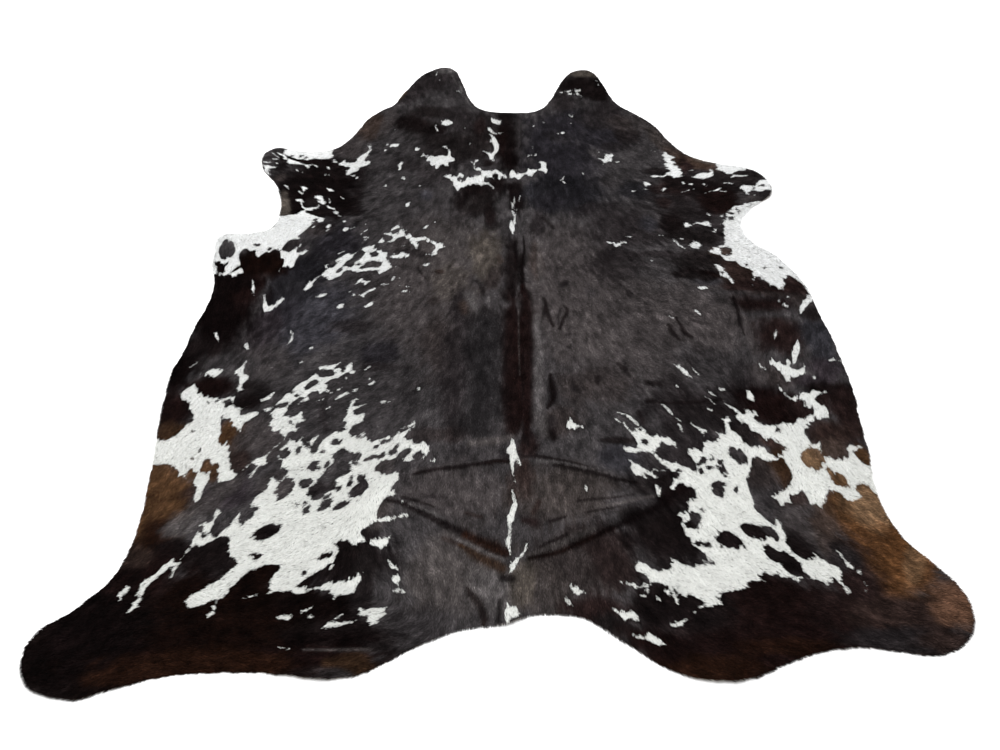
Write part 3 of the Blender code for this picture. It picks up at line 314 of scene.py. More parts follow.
# ---- the white markings, by body area. patches: closed outlines, x,y at each corner.
# streaks: x,y,width at each place; one place alone is a fleck. islands: dark outlines within
# the white. spots: dark ones, x,y,half-width,half-length,turn in degrees. "/" parts them. ----
MARKINGS = {
    "right haunch": dict(patches="""
56.8,-41.7 58.5,-42.5 60.3,-44 61.3,-45 62.5,-45.2 62,-43.8 63.5,-44.5 65,-44.3 65.2,-45.7 64,-46.3
64.3,-47.3 66,-48.3 68,-49 69,-49 69,-48 72,-48.1 74,-47.7 75,-47 77,-46.7 79,-45.3 79.8,-44 79.7,-43
77.7,-42.7 78.5,-41.7 77.7,-40.7 76.3,-40.5 75,-41.5 74.3,-40.8 73.3,-39 72.3,-37 72.5,-36 73.2,-37.5
74.2,-39 75.2,-40 77.3,-39.7 77.5,-38.8 79,-38.2 80.3,-38.5 81.5,-38 85,-38.2 84,-38.7 82.3,-39 81,-40.5
81.5,-41.7 83,-42.3 83.5,-44 83.3,-46 83.7,-47 81,-46.3 79,-47 77.5,-48.3 76.3,-50 75.8,-51.3 76.3,-52.7
76.8,-54 79,-53.7 78.7,-54.7 78.8,-56 79,-57.5 80.5,-58.3 83,-58.5 85,-58 85.2,-56.5 85,-55.5 86,-54.3
87.3,-55 89.5,-55 88,-55.5 86.3,-56.2 87,-58 88,-60 90.5,-60.7 90.2,-68 88.5,-68.5 87.3,-66 85.8,-65
84.5,-65.8 84.3,-67.3 85,-68.5 83.8,-69.8 82.3,-70 81,-69.5 80.3,-68.2 78.7,-67.5 77.5,-67.3 76.8,-68.3
76.7,-69.8 75,-70.3 74.7,-71.8 73.3,-70.3 72.3,-70.8 72.3,-69 71.3,-67.5 69,-67.8 68,-68.5 67.8,-70.3
66,-70.5 65.3,-71.5 64.7,-69.7 63,-68.7 64.5,-68.3 66,-67.5 67.8,-66.8 68,-65.3 69.5,-65 70,-63 69.5,-60.5
68.7,-58.5 67.3,-57.3 68.7,-57.3 70,-56 70,-55 68.5,-53.8 66.5,-52.7 65.3,-53 64.5,-51 62.5,-50 62,-48.5
60.5,-48 59.3,-46.5 60,-45.3 58.5,-43.5 /
47.3,-47.5 48.4,-48.8 50,-49.7 52,-50.3 54,-51 56.2,-51.2 55.9,-49.8 56.4,-48.7 55.6,-47 55.3,-46
56.6,-46.3 57.2,-45.7 57.8,-47 57.3,-48.3 57.6,-50 58.8,-51 59.5,-52.2 60.2,-53.9 61.6,-54.6 65,-55.2
65.5,-56.6 67.3,-58.3 66.5,-59 64.7,-59.2 63.8,-58.7 62.7,-58 61.3,-58 60.7,-59.3 60.3,-61 59.3,-62.5
58.6,-64.3 58.7,-65.8 59,-69.5 58.9,-71.7 60,-73.5 61.3,-75.2 63,-76.7 62.8,-75 63.2,-74.3 64,-75.3
64.6,-77.7 64.4,-81 65,-82.5 66.5,-83.8 68,-85 69.2,-84.4 70.3,-83.3 71,-84.3 73,-85.5 74.6,-86.2
74.9,-87.5 74.3,-88.5 74.7,-90.3 76,-92.3 75,-92.7 74.2,-90.8 73,-89 72.3,-89.2 71.3,-90.8 70.2,-89.7
68.2,-89.2 67.3,-88 66.2,-87.3 66.2,-85.2 64.7,-83.8 63.4,-82.8 61.8,-82.7 60,-81 59,-81.3 59,-83
59.8,-84.6 62,-85.8 63,-87.2 64.3,-88.3 66,-88.8 65,-90 63.3,-89 61.3,-88.8 61,-87.8 59.5,-88.2 58.2,-87.8
56.2,-88 57.6,-90 54.3,-89.8 53,-91.3 51.5,-92 49.3,-92 46.7,-92.6 46.6,-93.8 47.7,-95.2 44,-95.5 42,-95.8
43.3,-94.3 42,-93.8 40,-92.7 38.8,-93 37.3,-91.7 36.8,-90.6 32.4,-90.1 31.5,-88.5 29,-87 30.3,-84.5
31.2,-85.5 33.3,-87 35.5,-87.2 37.3,-86.8 38,-85.5 37.2,-84.5 38.5,-84.7 39.5,-85.7 42,-86.3 43.7,-85.5
45,-85.8 44,-84.3 46.7,-86 45.7,-84.5 45.3,-83.2 44,-82.2 42.6,-81 43,-79.3 41.7,-78.7 41.3,-76 41.5,-74.5
40.1,-73.2 43,-72.7 43.7,-71.5 43.3,-70.3 45.5,-69.3 45.6,-67 44.5,-65.9 42,-65.2 41,-66.5 41.2,-67.5
40.3,-67 38.7,-65.7 40,-65.8 41,-64.3 42.2,-63.8 43,-61.8 42,-61 41,-61.8 39.5,-60.7 38.3,-59.5 37.3,-58
36,-56.8 34,-56.7 30.7,-57 29.5,-55.3 32.8,-55.3 33.7,-54.3 33,-53 32.3,-51.7 31,-49.5 32.7,-50.3
34.3,-49.8 34.8,-49 36.3,-50.2 35.8,-50.7 36.8,-52 38.8,-51.8 38.3,-51.2 41.7,-52.3 43.2,-54.2 42.7,-55
41,-54.3 39.3,-53.5 38.7,-54 39,-55.2 37,-56.5 39,-58.7 41.3,-59.3 44.3,-60.8 46.8,-62 47.2,-60 46.3,-58.3
45.3,-56.8 45.6,-55.5 47.5,-55.6 49,-56.2 49.8,-54.3 51.3,-53.6 50.4,-52.2 49.6,-50.4 48,-49 /
30.5,-58.3 32,-59.7 33.5,-60.5 34.5,-61.7 36,-62.2 37.3,-63.8 36.5,-64 35,-62.8 33.7,-62.3 34.7,-64.2
33,-63.3 31.5,-62.8 31,-61.5 31.3,-60.3 /
15.2,-49.4 16,-48.8 16.2,-47.6 16.9,-46.5 17.7,-47.7 19,-48.7 20.5,-49.5 18.8,-49.3 17.8,-50 16.8,-50 /
71.3,-27.3 72.3,-28 72.8,-27.2 74,-28.3 76.3,-29 76.3,-27.5 77.3,-27.3 77.7,-28.7 76.7,-29.7 77.7,-30.2
80,-30.8 80.7,-30 81,-29 81.3,-29.7 80.7,-31 81,-32.7 79,-32.5 78.3,-34 77.7,-33 76.3,-33 76.2,-34.3
75.5,-35.7 74.8,-34.7 74.7,-33.3 74,-31.3 73,-29.7 72,-28.7""",
        spots="""
69.2,-50.1,.5,.7,0 / 76,-58.3,2.6,3.2,0 / 81,-64.3,2.2,1.5,-50 / 79,-61.6,.5,.5,0 / 35.2,-53.6,.7,.7,0 /
52.1,-51.9,1.9,1.4,-35 / 57.8,-57.6,2.5,1.6,-52 / 49,-58.9,.8,.7,0 / 51.2,-58.5,.5,.7,0 /
53.2,-59.4,.7,.8,0 / 47.6,-60,.6,.5,0 / 48,-61.8,.5,.7,0 / 50.4,-61,.7,.4,0 / 53.3,-61.9,.6,1.1,20 /
52.4,-61,.4,.3,0 / 51.4,-65.7,1.7,1.1,0 / 51.4,-67.2,1.5,1.4,0 / 55.5,-67,.5,.8,0 / 44.8,-74.3,1.4,1,-35 /
43.6,-76.1,1.4,1,5 / 51.5,-80.1,3.2,1.7,-25 / 44.4,-80.6,1.1,.5,0 / 46.1,-80.9,.9,.6,0 /
46.4,-85.3,.5,.3,0 / 49.3,-81.7,.3,.3,0 / 46.5,-72.3,.3,.3,0""",
        islands="""
54.6,-76.5 56.3,-75.8 57.5,-75.9 58.5,-76.7 60.5,-76.3 62,-77 62.8,-78.3 63.1,-79.6 62.3,-80.3 61.5,-79.4
60.5,-79.1 59.5,-79.5 58.9,-80.3 57.5,-79.4 56,-79 54.9,-78""",
        streaks="""
29.3,-44.8,.4 31,-45.5,.5 32.2,-46.4,1.2 33,-47.3,1 34.2,-48.8,.6 35.2,-49.9,1 /
28,-46.3,.2 29.2,-47.8,.5 / 30.5,-48,.4 31.3,-49.5,.6 / 36.7,-61.5,.3 37.8,-61.9,.7 39,-61.8,.4 /
36.5,-66,.5 36.9,-67,1.1 36.8,-68,.7 36.7,-68.4,.3 /
40.7,-42.3,.3 42,-43.7,.8 42.9,-44.8,.9 43.4,-45.6,.3 / 43.8,-46.2,.2 45,-47.5,.4 /
44.5,-48.5,.7 44.8,-49.5,1 45.1,-50.6,.4 /
46.2,-29,.7 47.2,-29.9,1.3 48.2,-31.3,1.6 49,-32.5,1.4 49.9,-33.4,.4 /
50.8,-30.6,.4 51.5,-31.7,.6 52.3,-32.8,.3 / 53.2,-37,.4 54,-38.3,.7 54.7,-39,.7 55.4,-39.4,.3 /
52.5,-39.6,.3 53.5,-40.5,.5 54.5,-41.9,.3 / 52,-43.4,.3 52.8,-43.8,.6 53.8,-44.1,.3 /
64.3,-38.4,.9 64.3,-39.7,2.3 65,-41.2,.6 / 68.9,-29,.4 69.7,-30.1,.9 70.5,-31.3,.5 /
86.5,-28.4,.2 88,-27.7,.5 89.5,-27.6,.6 91,-28.1,.4 / 36.5,-91,.6 37,-92.5,.8 37.4,-94.5,.6 /
35.5,-92,.8 36.3,-93,.6 / 35.6,-99.5,.4 36.5,-99.3,.8 37.7,-99.1,1 38,-98.6,.5 /
37.5,-98.7,.4 39.8,-98.3,.2 / 75.1,-82,.4 75.8,-83.4,.7 76.5,-84.8,.6 77.2,-86,.9 77.6,-86.6,.5 /
77,-86.2,.7 76.2,-86.8,.4 / 79.5,-90,.2 80.1,-91.7,.5 / 45.3,-36.6,.7 45.9,-36.6,.7 /
57.2,-37.3,1 57.8,-37.3,1 / 19.6,-66.8,.8 / 82.5,-33.3,1 / 79.2,-87.6,1.3 / 79.4,-88.6,.7 / 79.2,-92,.8 /
41,-96.7,.4 41.4,-96.7,.4"""),
    "rump and tail": dict(patches="""
-31.3,-95.7 -30.3,-96.2 -29.3,-95.8 -28,-95.5 -25.5,-95.5 -26,-96.5 -25.2,-97.2 -26.5,-97.8 -27,-99
-28.5,-99.5 -29.7,-98.8 -29,-97.7 -31.2,-97 /
.5,-94.2 1.4,-95.3 2.3,-96 3.6,-96.8 3.3,-97.3 2,-98.2 .8,-98.8 -.3,-98.6 -.1,-97 .3,-95.4""",
        streaks="""
-26.1,-84.9,.4 -25.4,-85.9,.9 -24.7,-86.6,1 -24,-86.9,.5 /
-24,-89.3,2 -23.7,-90.3,.5 -23.2,-91.2,.6 -22.8,-91.8,.8 -21.8,-92.3,.8 -20.9,-92.2,.4 /
-24.4,-92.1,.4 -23,-91.8,.4 /
-39,-100.2,.5 -37.6,-99.4,1.4 -36.6,-99.3,1.3 -35.3,-99.3,.9 -33.5,-98.9,.6 -31.6,-98.6,.3 /
-36.8,-98.4,.4 -34.8,-97.1,.3 / -49,-98,.4 -47.8,-97.7,.9 -46.5,-97.8,1.1 -45.7,-97.4,.4 /
-44.8,-97,.2 -43.6,-96.5,.7 -42.8,-96.3,.6 -41.8,-95.6,.2 / -49,-103.9,.2 -45,-104.6,.2 /
-57,-93.7,.3 -54,-92.8,.2 / -23.9,-70.3,.9 / -38.8,-86.6,.8 / -41.6,-97.7,.9 /
2.2,-53.4,.8 2.2,-54.8,1.9 1.9,-56,2.3 2.3,-57.3,1.9 2.2,-58.8,1.7 2,-60.5,.9 2.1,-62,.5 2.3,-63.5,.3
2.6,-65,.15 /
2.9,-57.8,1.2 3.4,-59,.9 4,-60,.5 /
1.8,-67.3,.3 2.3,-69,.8 2.5,-70.5,1.1 2.1,-72.3,1.6 1.4,-74.2,2 1.2,-75.5,1.2 1.3,-77.5,.6 1.2,-79.5,.8
.9,-80.3,1.4 1,-81.5,1.1 1.4,-83.3,.3 /
5.1,-81.2,.4 4.7,-82.5,.6 4,-83.6,.7 3,-84.6,.7 2.2,-85.6,1 1.7,-86.8,.9 1.3,-87.8,.5 /
1,-85,.3 1.2,-86.2,.4 / 14.4,-90.8,.3 15.2,-91.6,1 16.2,-92,1.1 17.8,-92.4,.3 /
13.4,-93.9,.5 14,-94.7,.8 14.7,-95.2,.3 /
25.7,-89.8,.5 27,-90.3,.8 28.4,-90.7,.8 29.8,-91.2,.5 32.3,-90.3,.2 /
23.4,-95.8,.4 24.6,-96.7,1.2 26,-97.4,1.4 27.8,-97.5,1.2 28.8,-97.8,.5 /
27.2,-101.7,.4 29,-102.1,.8 31,-102.3,1.8 32.5,-103,1.5 33.6,-103.6,.5 / 30,-93,.5 30.6,-93,.5 /
31.3,-92,.9 / 30.7,-95.4,.5 31.3,-95.4,.5 / 33.3,-93.8,.8"""),
    "left haunch": dict(patches="""
-56,-58.4 -55.6,-57 -55.2,-56.1 -55.4,-55.6 -55,-55 -54.2,-54.3 -54,-53.5 -54.1,-52.5 -53.6,-52.2
-53,-52.8 -52.6,-53.5 -51.9,-53.7 -51.3,-53 -50.8,-51.9 -50.5,-52.2 -50.9,-53 -50.6,-53.9 -49.6,-53.9
-48.8,-53.5 -48,-52.6 -47.3,-52 -46.7,-51.8 -46.9,-52.6 -47.4,-53.6 -47.8,-54.6 -48.1,-56.1 -47.8,-56.9
-47.2,-57.1 -46.4,-56.5 -46.1,-55.5 -46,-54.4 -45.7,-53.2 -45,-52.4 -44,-51.8 -43.2,-51 -42.6,-50.4
-41.6,-50.6 -40.7,-50.4 -40.1,-49.9 -39.7,-50.2 -39.1,-51 -38.2,-51.9 -37.2,-52 -36.4,-51.8 -36,-51.2
-35,-50.6 -34.5,-51 -34.5,-52 -34.2,-53.2 -33.5,-53.6 -32.5,-53.2 -31.5,-52.6 -30.4,-52.5 -29.4,-52.1
-28.2,-52 -27.2,-51.4 -26.6,-50.4 -25.9,-49.4 -24.8,-48.8 -23.6,-48.3 -22.8,-47.4 -22.5,-47.8 -22.5,-48.8
-22.8,-49.3 -23.6,-49.8 -24.2,-50.6 -24.6,-51.5 -25,-52 -24.6,-52.6 -23.4,-53 -22.3,-53.6 -20,-54
-18.6,-55 -18.4,-56.2 -19.8,-58.5 -21.3,-58.5 -22.6,-59 -24.3,-59.6 -25,-59.5 -24.6,-58.6 -25.8,-58.2
-26.6,-58.1 -27.5,-58.4 -28.9,-58.5 -30.2,-59 -30.4,-59.8 -31.4,-60.4 -31.5,-61.2 -30.8,-62.4 -29.2,-62.7
-27.8,-62.4 -26.6,-62.2 -26,-62.7 -25.3,-63.6 -25.4,-64.6 -26.2,-65.3 -26.8,-66.2 -26.9,-67.2 -26.2,-67.8
-25.8,-68.3 -27.2,-68.6 -28.4,-69.2 -29,-70.2 -29.4,-71 -29.9,-72.3 -29.8,-73.4 -29.4,-74.5 -28.4,-74.5
-27.5,-73.9 -26,-74.5 -26.9,-75 -30.7,-75.8 -32,-76.7 -33.1,-78.5 -31.5,-80.2 -28,-79.5 -25.8,-78.7
-27,-80.7 -27.7,-82.7 -28.7,-81.8 -31.3,-80.9 -35,-80.7 -37,-79.6 -38.9,-81 -37.4,-82.6 -38.3,-85
-40.5,-87 -43,-88.5 -46.1,-91 -42,-91.3 -39,-90 -35,-89.7 -31.4,-87.7 -31.7,-89 -33,-92.6 -36.3,-93
-37,-94.1 -38.7,-92.1 -42,-91.7 -44.7,-92.8 -47.3,-92 -50.7,-92.2 -52.1,-93.3 -51.3,-91.3 -52.4,-90.2
-50.3,-87 -50.6,-86 -53.5,-86 -56.7,-87.4 -59.3,-90 -61.5,-93.5 -63.6,-98 -63.4,-94.2 -68,-95.8 -69.8,-94
-66,-91 -63.3,-89.3 -60.3,-86 -60.7,-84.3 -62.7,-82.7 -63.3,-79 -65.9,-79.4 -65.3,-77.7 -63.7,-76.2
-61.9,-72.4 -61.5,-75.7 -60.7,-76.2 -59.4,-74.6 -58.4,-73.5 -58.2,-72.2 -58.4,-71.6 -59.5,-71.9 -60.1,-72
-59.6,-71.6 -59.8,-70.4 -59.6,-69.3 -58.8,-68.3 -57.6,-67.6 -56.8,-66.8 -56.4,-65.8 -56.5,-64.7 -56.6,-64
-56.1,-63.7 -56,-63 -55.6,-62.7 -55.6,-63.8 -55.2,-64.6 -54.4,-65.2 -53.5,-63.8 -52.9,-63.1 -52.8,-62.4
-53.4,-61.7 -54.4,-61.2 -54.8,-60.1 -54.6,-59 /
-55,-52 -55.3,-52.6 -55.7,-53.6 -56.4,-54.4 -57.2,-55.2 -58.1,-56.2 -59,-57.4 -60,-58.1 -61.1,-58.4
-62,-59.1 -62.6,-60 -63.2,-61.1 -64.3,-62.1 -65.4,-63.1 -66,-64.1 -65.4,-63.8 -64.6,-62.7 -63.6,-61.8
-62.8,-61.1 -62.1,-60.1 -61.4,-59.8 -60.7,-60.1 -60.4,-61 -60.8,-62 -61.7,-63 -61.7,-64.1 -61.2,-63.8
-60.7,-63.1 -60.4,-61.8 -59.6,-60.7 -59.1,-60.1 -58.4,-60.6 -58.1,-59.8 -58.4,-58.6 -58.2,-57.8
-57.8,-56.6 -57.2,-55.6 -56.4,-54.8 -55.8,-54 -55.2,-52.9 /
-82,-35.8 -80.8,-36.3 -80.3,-38.3 -79,-39.3 -76.3,-40.2 -73.3,-40.3 -71.2,-39.2 -70.2,-39.7 -70.3,-42
-69.7,-43.3 -68.3,-43.8 -66.4,-43 -68,-44.3 -67.7,-45.3 -65.7,-45.3 -62.8,-44 -63,-45.3 -66.2,-47.6
-66.5,-50.7 -67.5,-50.6 -69,-48 -70.3,-46.7 -72.4,-45.5 -72,-48 -71.3,-50.7 -71.2,-53.7 -70.3,-54.8
-69.3,-53.3 -68.7,-55 -67.4,-59 -67,-61.5 -65.3,-62.7 -65.6,-64.3 -68.6,-64.8 -69.5,-61.3 -70.7,-60.7
-71.3,-61.8 -71.8,-67.5 -72.4,-70 -73.7,-70.5 -73.8,-66.5 -75,-64.7 -74.5,-63 -75.5,-61.8 -77,-64
-79.3,-63.2 -78.8,-62 -80.3,-60.4 -82.5,-60 -89,-60.2 -89,-53.3 -84.3,-53 -82.7,-52 -80.7,-48.5
-79.2,-47.3 -79.5,-45.8 -81.3,-44 -81.7,-42 -84,-40.3 -84.8,-39 -84,-37.8 /
-59.1,-42.4 -58.5,-41.2 -57.8,-40.1 -57.2,-39 -56.6,-38.4 -55.9,-38.8 -55.2,-38.6 -54.9,-38.1 -55.2,-37.4
-54.8,-36.4 -54,-35.6 -53.2,-34.9 -52.4,-34.4 -51.6,-33.5 -50.9,-32.8 -50.2,-32.4 -49.6,-32.6 -48.8,-33.2
-48,-33.6 -47.2,-33.4 -46.3,-33.2 -45.5,-32.8 -45,-32.2 -45,-31.5 -45.5,-31.4 -46.3,-31 -47,-30.7
-47.9,-30.7 -48.4,-31 -49,-31.2 -48.8,-30.7 -49.6,-30.4 -49.7,-29.9 -48.8,-29.8 -47.6,-29.3 -46.4,-29.3
-45.5,-29 -44.6,-28.3 -43.7,-28 -44.1,-28.6 -44.8,-29.4 -45.4,-30 -44.6,-30.4 -44,-30.6 -43.6,-30.9
-43.4,-31.6 -43,-32 -42.3,-31.6 -42.6,-30.9 -42.4,-29.9 -41.8,-28.9 -41.2,-28.2 -40.4,-28 -40.6,-28.9
-40.6,-30.2 -40.5,-31.2 -40,-31.6 -40.2,-32.5 -40.7,-31.9 -41.2,-31.6 -42,-31.9 -42.8,-32.5 -43.7,-33
-44.1,-33.6 -45,-33.9 -45.9,-34.2 -46.6,-34.8 -47,-35.6 -46.8,-36.2 -46,-36.4 -46.2,-37.2 -45.8,-38
-44.6,-37.8 -44.8,-38.4 -45.6,-39.1 -45.9,-38.6 -46.3,-38 -47,-38.1 -47.8,-38.6 -48.4,-39.6 -48.2,-39
-48.3,-38.1 -49,-37.8 -49.9,-38.1 -50.6,-38.5 -51,-39.1 -51,-40.1 -50.8,-40.8 -51.4,-41.2 -52.2,-41.4
-52.9,-42 -53.5,-42.6 -53.2,-41.7 -52.4,-40.7 -51.9,-40 -52.5,-39.8 -53.4,-40.1 -54,-40.7 -54.8,-41.6
-55.3,-42.2 -55.8,-43.1 -55.7,-44.1 -56,-44.7 -56.1,-45.6 -55.5,-46.2 -54.6,-46.3 -53.6,-45.8 -52.9,-45.1
-52,-44.2 -51.7,-45.3 -51.4,-46 -50.4,-46.8 -50.9,-47.3 -51.6,-47.7 -52.5,-47.7 -53,-48.4 -52.8,-49.3
-52.2,-50 -52.2,-50.8 -52.7,-51.3 -53,-50.9 -53.5,-50.6 -54,-50.6 -54.5,-51 -54.8,-51.8 -54.6,-52.6
-55,-52.9 -55.2,-52.4 -55.4,-51.6 -56.1,-51.4 -56.2,-50.8 -56.6,-49.8 -57.1,-50.2 -57.6,-50.6 -58.4,-50.4
-59.1,-49.8 -59.4,-48.9 -59.4,-47.4 -59.6,-46.3 -59.8,-44.8 -59.6,-44.4 -59.2,-43.8 -58.4,-43.6
-57.4,-43.3 -56.5,-43.1 -56.1,-42.4 -56,-42 -56.4,-41.2 -56.8,-41.7 -57.6,-41.8 -58.4,-42.2 -59.1,-42.7 /
-40.6,-43.8 -40.1,-43 -39.7,-42 -39.3,-41 -38.6,-40.4 -37.7,-40.2 -38.6,-41.1 -38.9,-42.1 -38.7,-42.8
-37.7,-42.6 -36.7,-42.2 -35,-41.6 -36.2,-42.4 -37.2,-43.2 -38.1,-43.7 -39.1,-43.8 -38.8,-44.6 -38.2,-45.4
-37.2,-45.3 -36.1,-45 -35.6,-45.2 -35.8,-46.2 -36,-47.2 -36.6,-47.7 -37.7,-48.2 -38.4,-49 -39,-50
-39.4,-50.6 -40,-50.4 -40.3,-48.6 -40.4,-48 -41.2,-47.7 -41,-46.7 -40.4,-45.7 -40.2,-44.7 /
-59.8,-38.1 -60.1,-39.2 -60.7,-40.6 -61.7,-41 -62.7,-41.1 -63.4,-40.6 -62.4,-40.2 -61.6,-39.5
-60.7,-38.6 /
-60,-42.8 -60.5,-42.8 -61.2,-43.2 -61.8,-43.8 -61.1,-44.6 -60.4,-44.2 -60,-43.6 /
-46.2,-40.1 -46.9,-41 -47.6,-41.1 -48.4,-41.4 -49,-41.6 -48.4,-40.8 -47.9,-40.4 -47,-40.2 /
-81,-32.2 -77,-30.2 -75,-31.2 -77,-33.7 -78.3,-33""",
        spots="""
-54.2,-56.8,1.1,1.5,-25 / -51.1,-56.1,.55,.7,0 / -48.8,-54.4,.45,.6,0 / -36.4,-52.3,.6,.45,0 /
-43.3,-60,.45,.8,-10 / -41.8,-53.5,1.1,.9,30 / -29.7,-53.4,1,.4,15 / -27.5,-56.6,1,.65,35 /
-24.9,-57,1.7,.9,35 / -21,-57.4,1.4,.9,30 / -26.8,-55,.35,.7,-35 / -31.8,-55.1,.4,.3,0 /
-45,-56.4,.4,.4,0 / -36.6,-59.8,.6,.4,0 / -54,-39.2,.5,.4,30 / -54.5,-47.7,.35,.25,0 /
-53.8,-48.4,.25,.25,0 / -38.4,-71.1,1.9,.7,32 / -24.8,-49.9,1,.35,25 / -49,-70.9,.6,.5,25 /
-47,-70.6,.6,.6,35 / -46.4,-72.5,.7,.75,0 / -54.9,-78,3,1.6,30 / -40.3,-83.7,1.3,.6,25 /
-44.5,-87.7,.5,.4,0 / -56.5,-62.7,1,.7,0 / -42.3,-68.9,1,.35,40 / -56.4,-83.8,1.1,.7,0 /
-72.8,-60.7,1.1,1.8,0 / -71.7,-41.8,1,1,0 / -76.7,-41.5,.35,.35,0 / -74.7,-41.2,.35,.35,0 /
-78.6,-50.4,.35,.35,0 / -75.5,-55.9,.35,.35,0 / -76.8,-58.4,.35,.35,0 / -76,-63.2,1,1.5,20 /
-70.6,-61.6,.9,1.5,0""",
        islands="""
-52.9,-64 -51.9,-64 -51,-64.2 -50.4,-65.3 -50.4,-66.7 -51,-67.8 -52.2,-69 -53.5,-70 -54,-69.3 -54.5,-67.8
-54.6,-66.7 -54,-65.3 /
-42.8,-57.5 -42.3,-57 -41.6,-56.6 -41,-55.8 -40,-55.4 -39,-56 -37.7,-56.4 -36.1,-56.8 -35.1,-57.1
-35.4,-58 -36,-59 -37,-59 -37.7,-59.2 -37.9,-59.6 -37.2,-60.6 -37.3,-61.8 -38,-62.8 -39.1,-63.2
-40.4,-63.8 -41.2,-64.6 -40.8,-65.3 -40,-65.8 -39,-66.3 -39.1,-67 -40,-67.7 -40.7,-67.5 -41.1,-66.7
-41.7,-67.4 -42.6,-68.3 -43.3,-69.3 -44.2,-69.6 -45.9,-69.6 -46.2,-68.8 -47.2,-68.6 -47.2,-67.7
-46.6,-66.8 -46.2,-66 -45.4,-65.7 -45.2,-64.6 -44.4,-63.6 -43.7,-62.6 -43,-61.2 -42.3,-60.1 -41.8,-59
-42,-58.1 /
-47.2,-59.5 -46.2,-59 -45.3,-59.4 -45.2,-60.2 -44.6,-60.7 -44.8,-61.6 -45.9,-61.4 -46.4,-62.1 -47.4,-62.2
-47.6,-61.2 -47.8,-60.4 /
-34.5,-58.8 -34,-58.1 -32.6,-57.8 -31.5,-57.1 -30,-56.8 -29.2,-57.2 -29.9,-58.1 -31.2,-58.6 -32.5,-59
-33.8,-59.4 /
-49,-64.1 -47.6,-63.8 -46.3,-64.2 -46.6,-65.4 -47.3,-66.6 -48.4,-67 -49.2,-66.3 -49.4,-65.1 /
-42,-69.6 -41,-69.4 -40.6,-69.9 -41.2,-70.9 -41,-71.6 -42,-72 -43,-72.8 -43.7,-72.4 -43.6,-71.4
-43,-70.4 /
-37.2,-63 -36.6,-63.2 -36.8,-64.2 -36.6,-65.2 -37.1,-66.2 -37.8,-66.5 -38,-65.6 -37.7,-64.4 /
-35.5,-63.1 -34.6,-62.4 -33.8,-62.8 -33.5,-63.8 -33.2,-64.7 -32.5,-65.2 -32.3,-66 -33,-67 -34.1,-68.2
-35.5,-69 -36.6,-68.8 -36.9,-67.7 -36.5,-66.7 -35.6,-65.6 -34.8,-65.2 -35.2,-64.6 -35.6,-64 /
-50.5,-34.4 -49.6,-34.5 -49,-35 -49.4,-35.8 -50.4,-36.5 -51.4,-37.3 -51.9,-37.4 -52.2,-36.6 -51.9,-35.8
-51.4,-35""",
        streaks="""
-45.9,-43.7,.4 -45.2,-43,.7 -44.6,-42.4,.4 / -43.7,-40.5,.4 -42.6,-39.6,.9 -41.5,-38.7,.7 /
-39.3,-37.8,.8 -38.5,-37.4,.5 / -43.4,-37.4,.6 / -42.4,-36.7,.4 / -41.9,-33.7,.9 /
-37,-30.7,.4 -36.4,-29.9,.5 / -35.3,-35.6,.9 -34.3,-34.9,.9 / -36,-33.3,.3 -35.5,-34.2,.4 /
-22.4,-37.2,.9 / -31.5,-41.5,.8 -31,-41.1,.8 / -30,-41.7,.5 / -55,-28.7,.5 -54.3,-28,.5 /
-17.5,-59.3,1.3 / -25.6,-74.3,.5 -24,-73.9,.8 -22.6,-73.6,.3 /
-69.7,-28.2,.5 -70.3,-30.2,1.2 -70.9,-31.5,2.2 -70,-33,1.6 -69.2,-34,2.2 -69.9,-35.7,1 -69.3,-37.2,1.6
-70,-38,.4 /
-84.2,-30.2,.5 -82.5,-28.1,.3"""),
    "left hind leg": dict(patches="""
-69,-75.3 -67.5,-75.3 -68,-78.7 -66.3,-79.7 -68.7,-81.5 -70.5,-81.2 -72.9,-84.5 -71.7,-81.7 -71.5,-80
-70.7,-76.3""",
        spots="""-69.9,-77.7,.5,.9,20 / -69,-78.7,.5,.9,-30""",
        streaks="""
-67.2,-72.3,.8 -67.5,-73.5,1.3 -67.7,-75,.3 /
-75,-85.3,.8 -76,-86.7,1.5 -77.3,-88.3,1.2 -78.7,-89.6,1.5 -80,-90.4,.9 /
-79,-90.3,1.2 -79.7,-92,.8 -79.5,-93.7,1.1 -80.2,-95.3,1.5 -81,-96.6,.4 / -74.7,-86,.9 -73.3,-85.7,.5 /
-73.9,-86.9,.9 -73.7,-88.6,.5 / -83.2,-91,.5 -83.2,-92,1.5 -84,-93.3,1.4 -83.3,-94.7,.3"""),
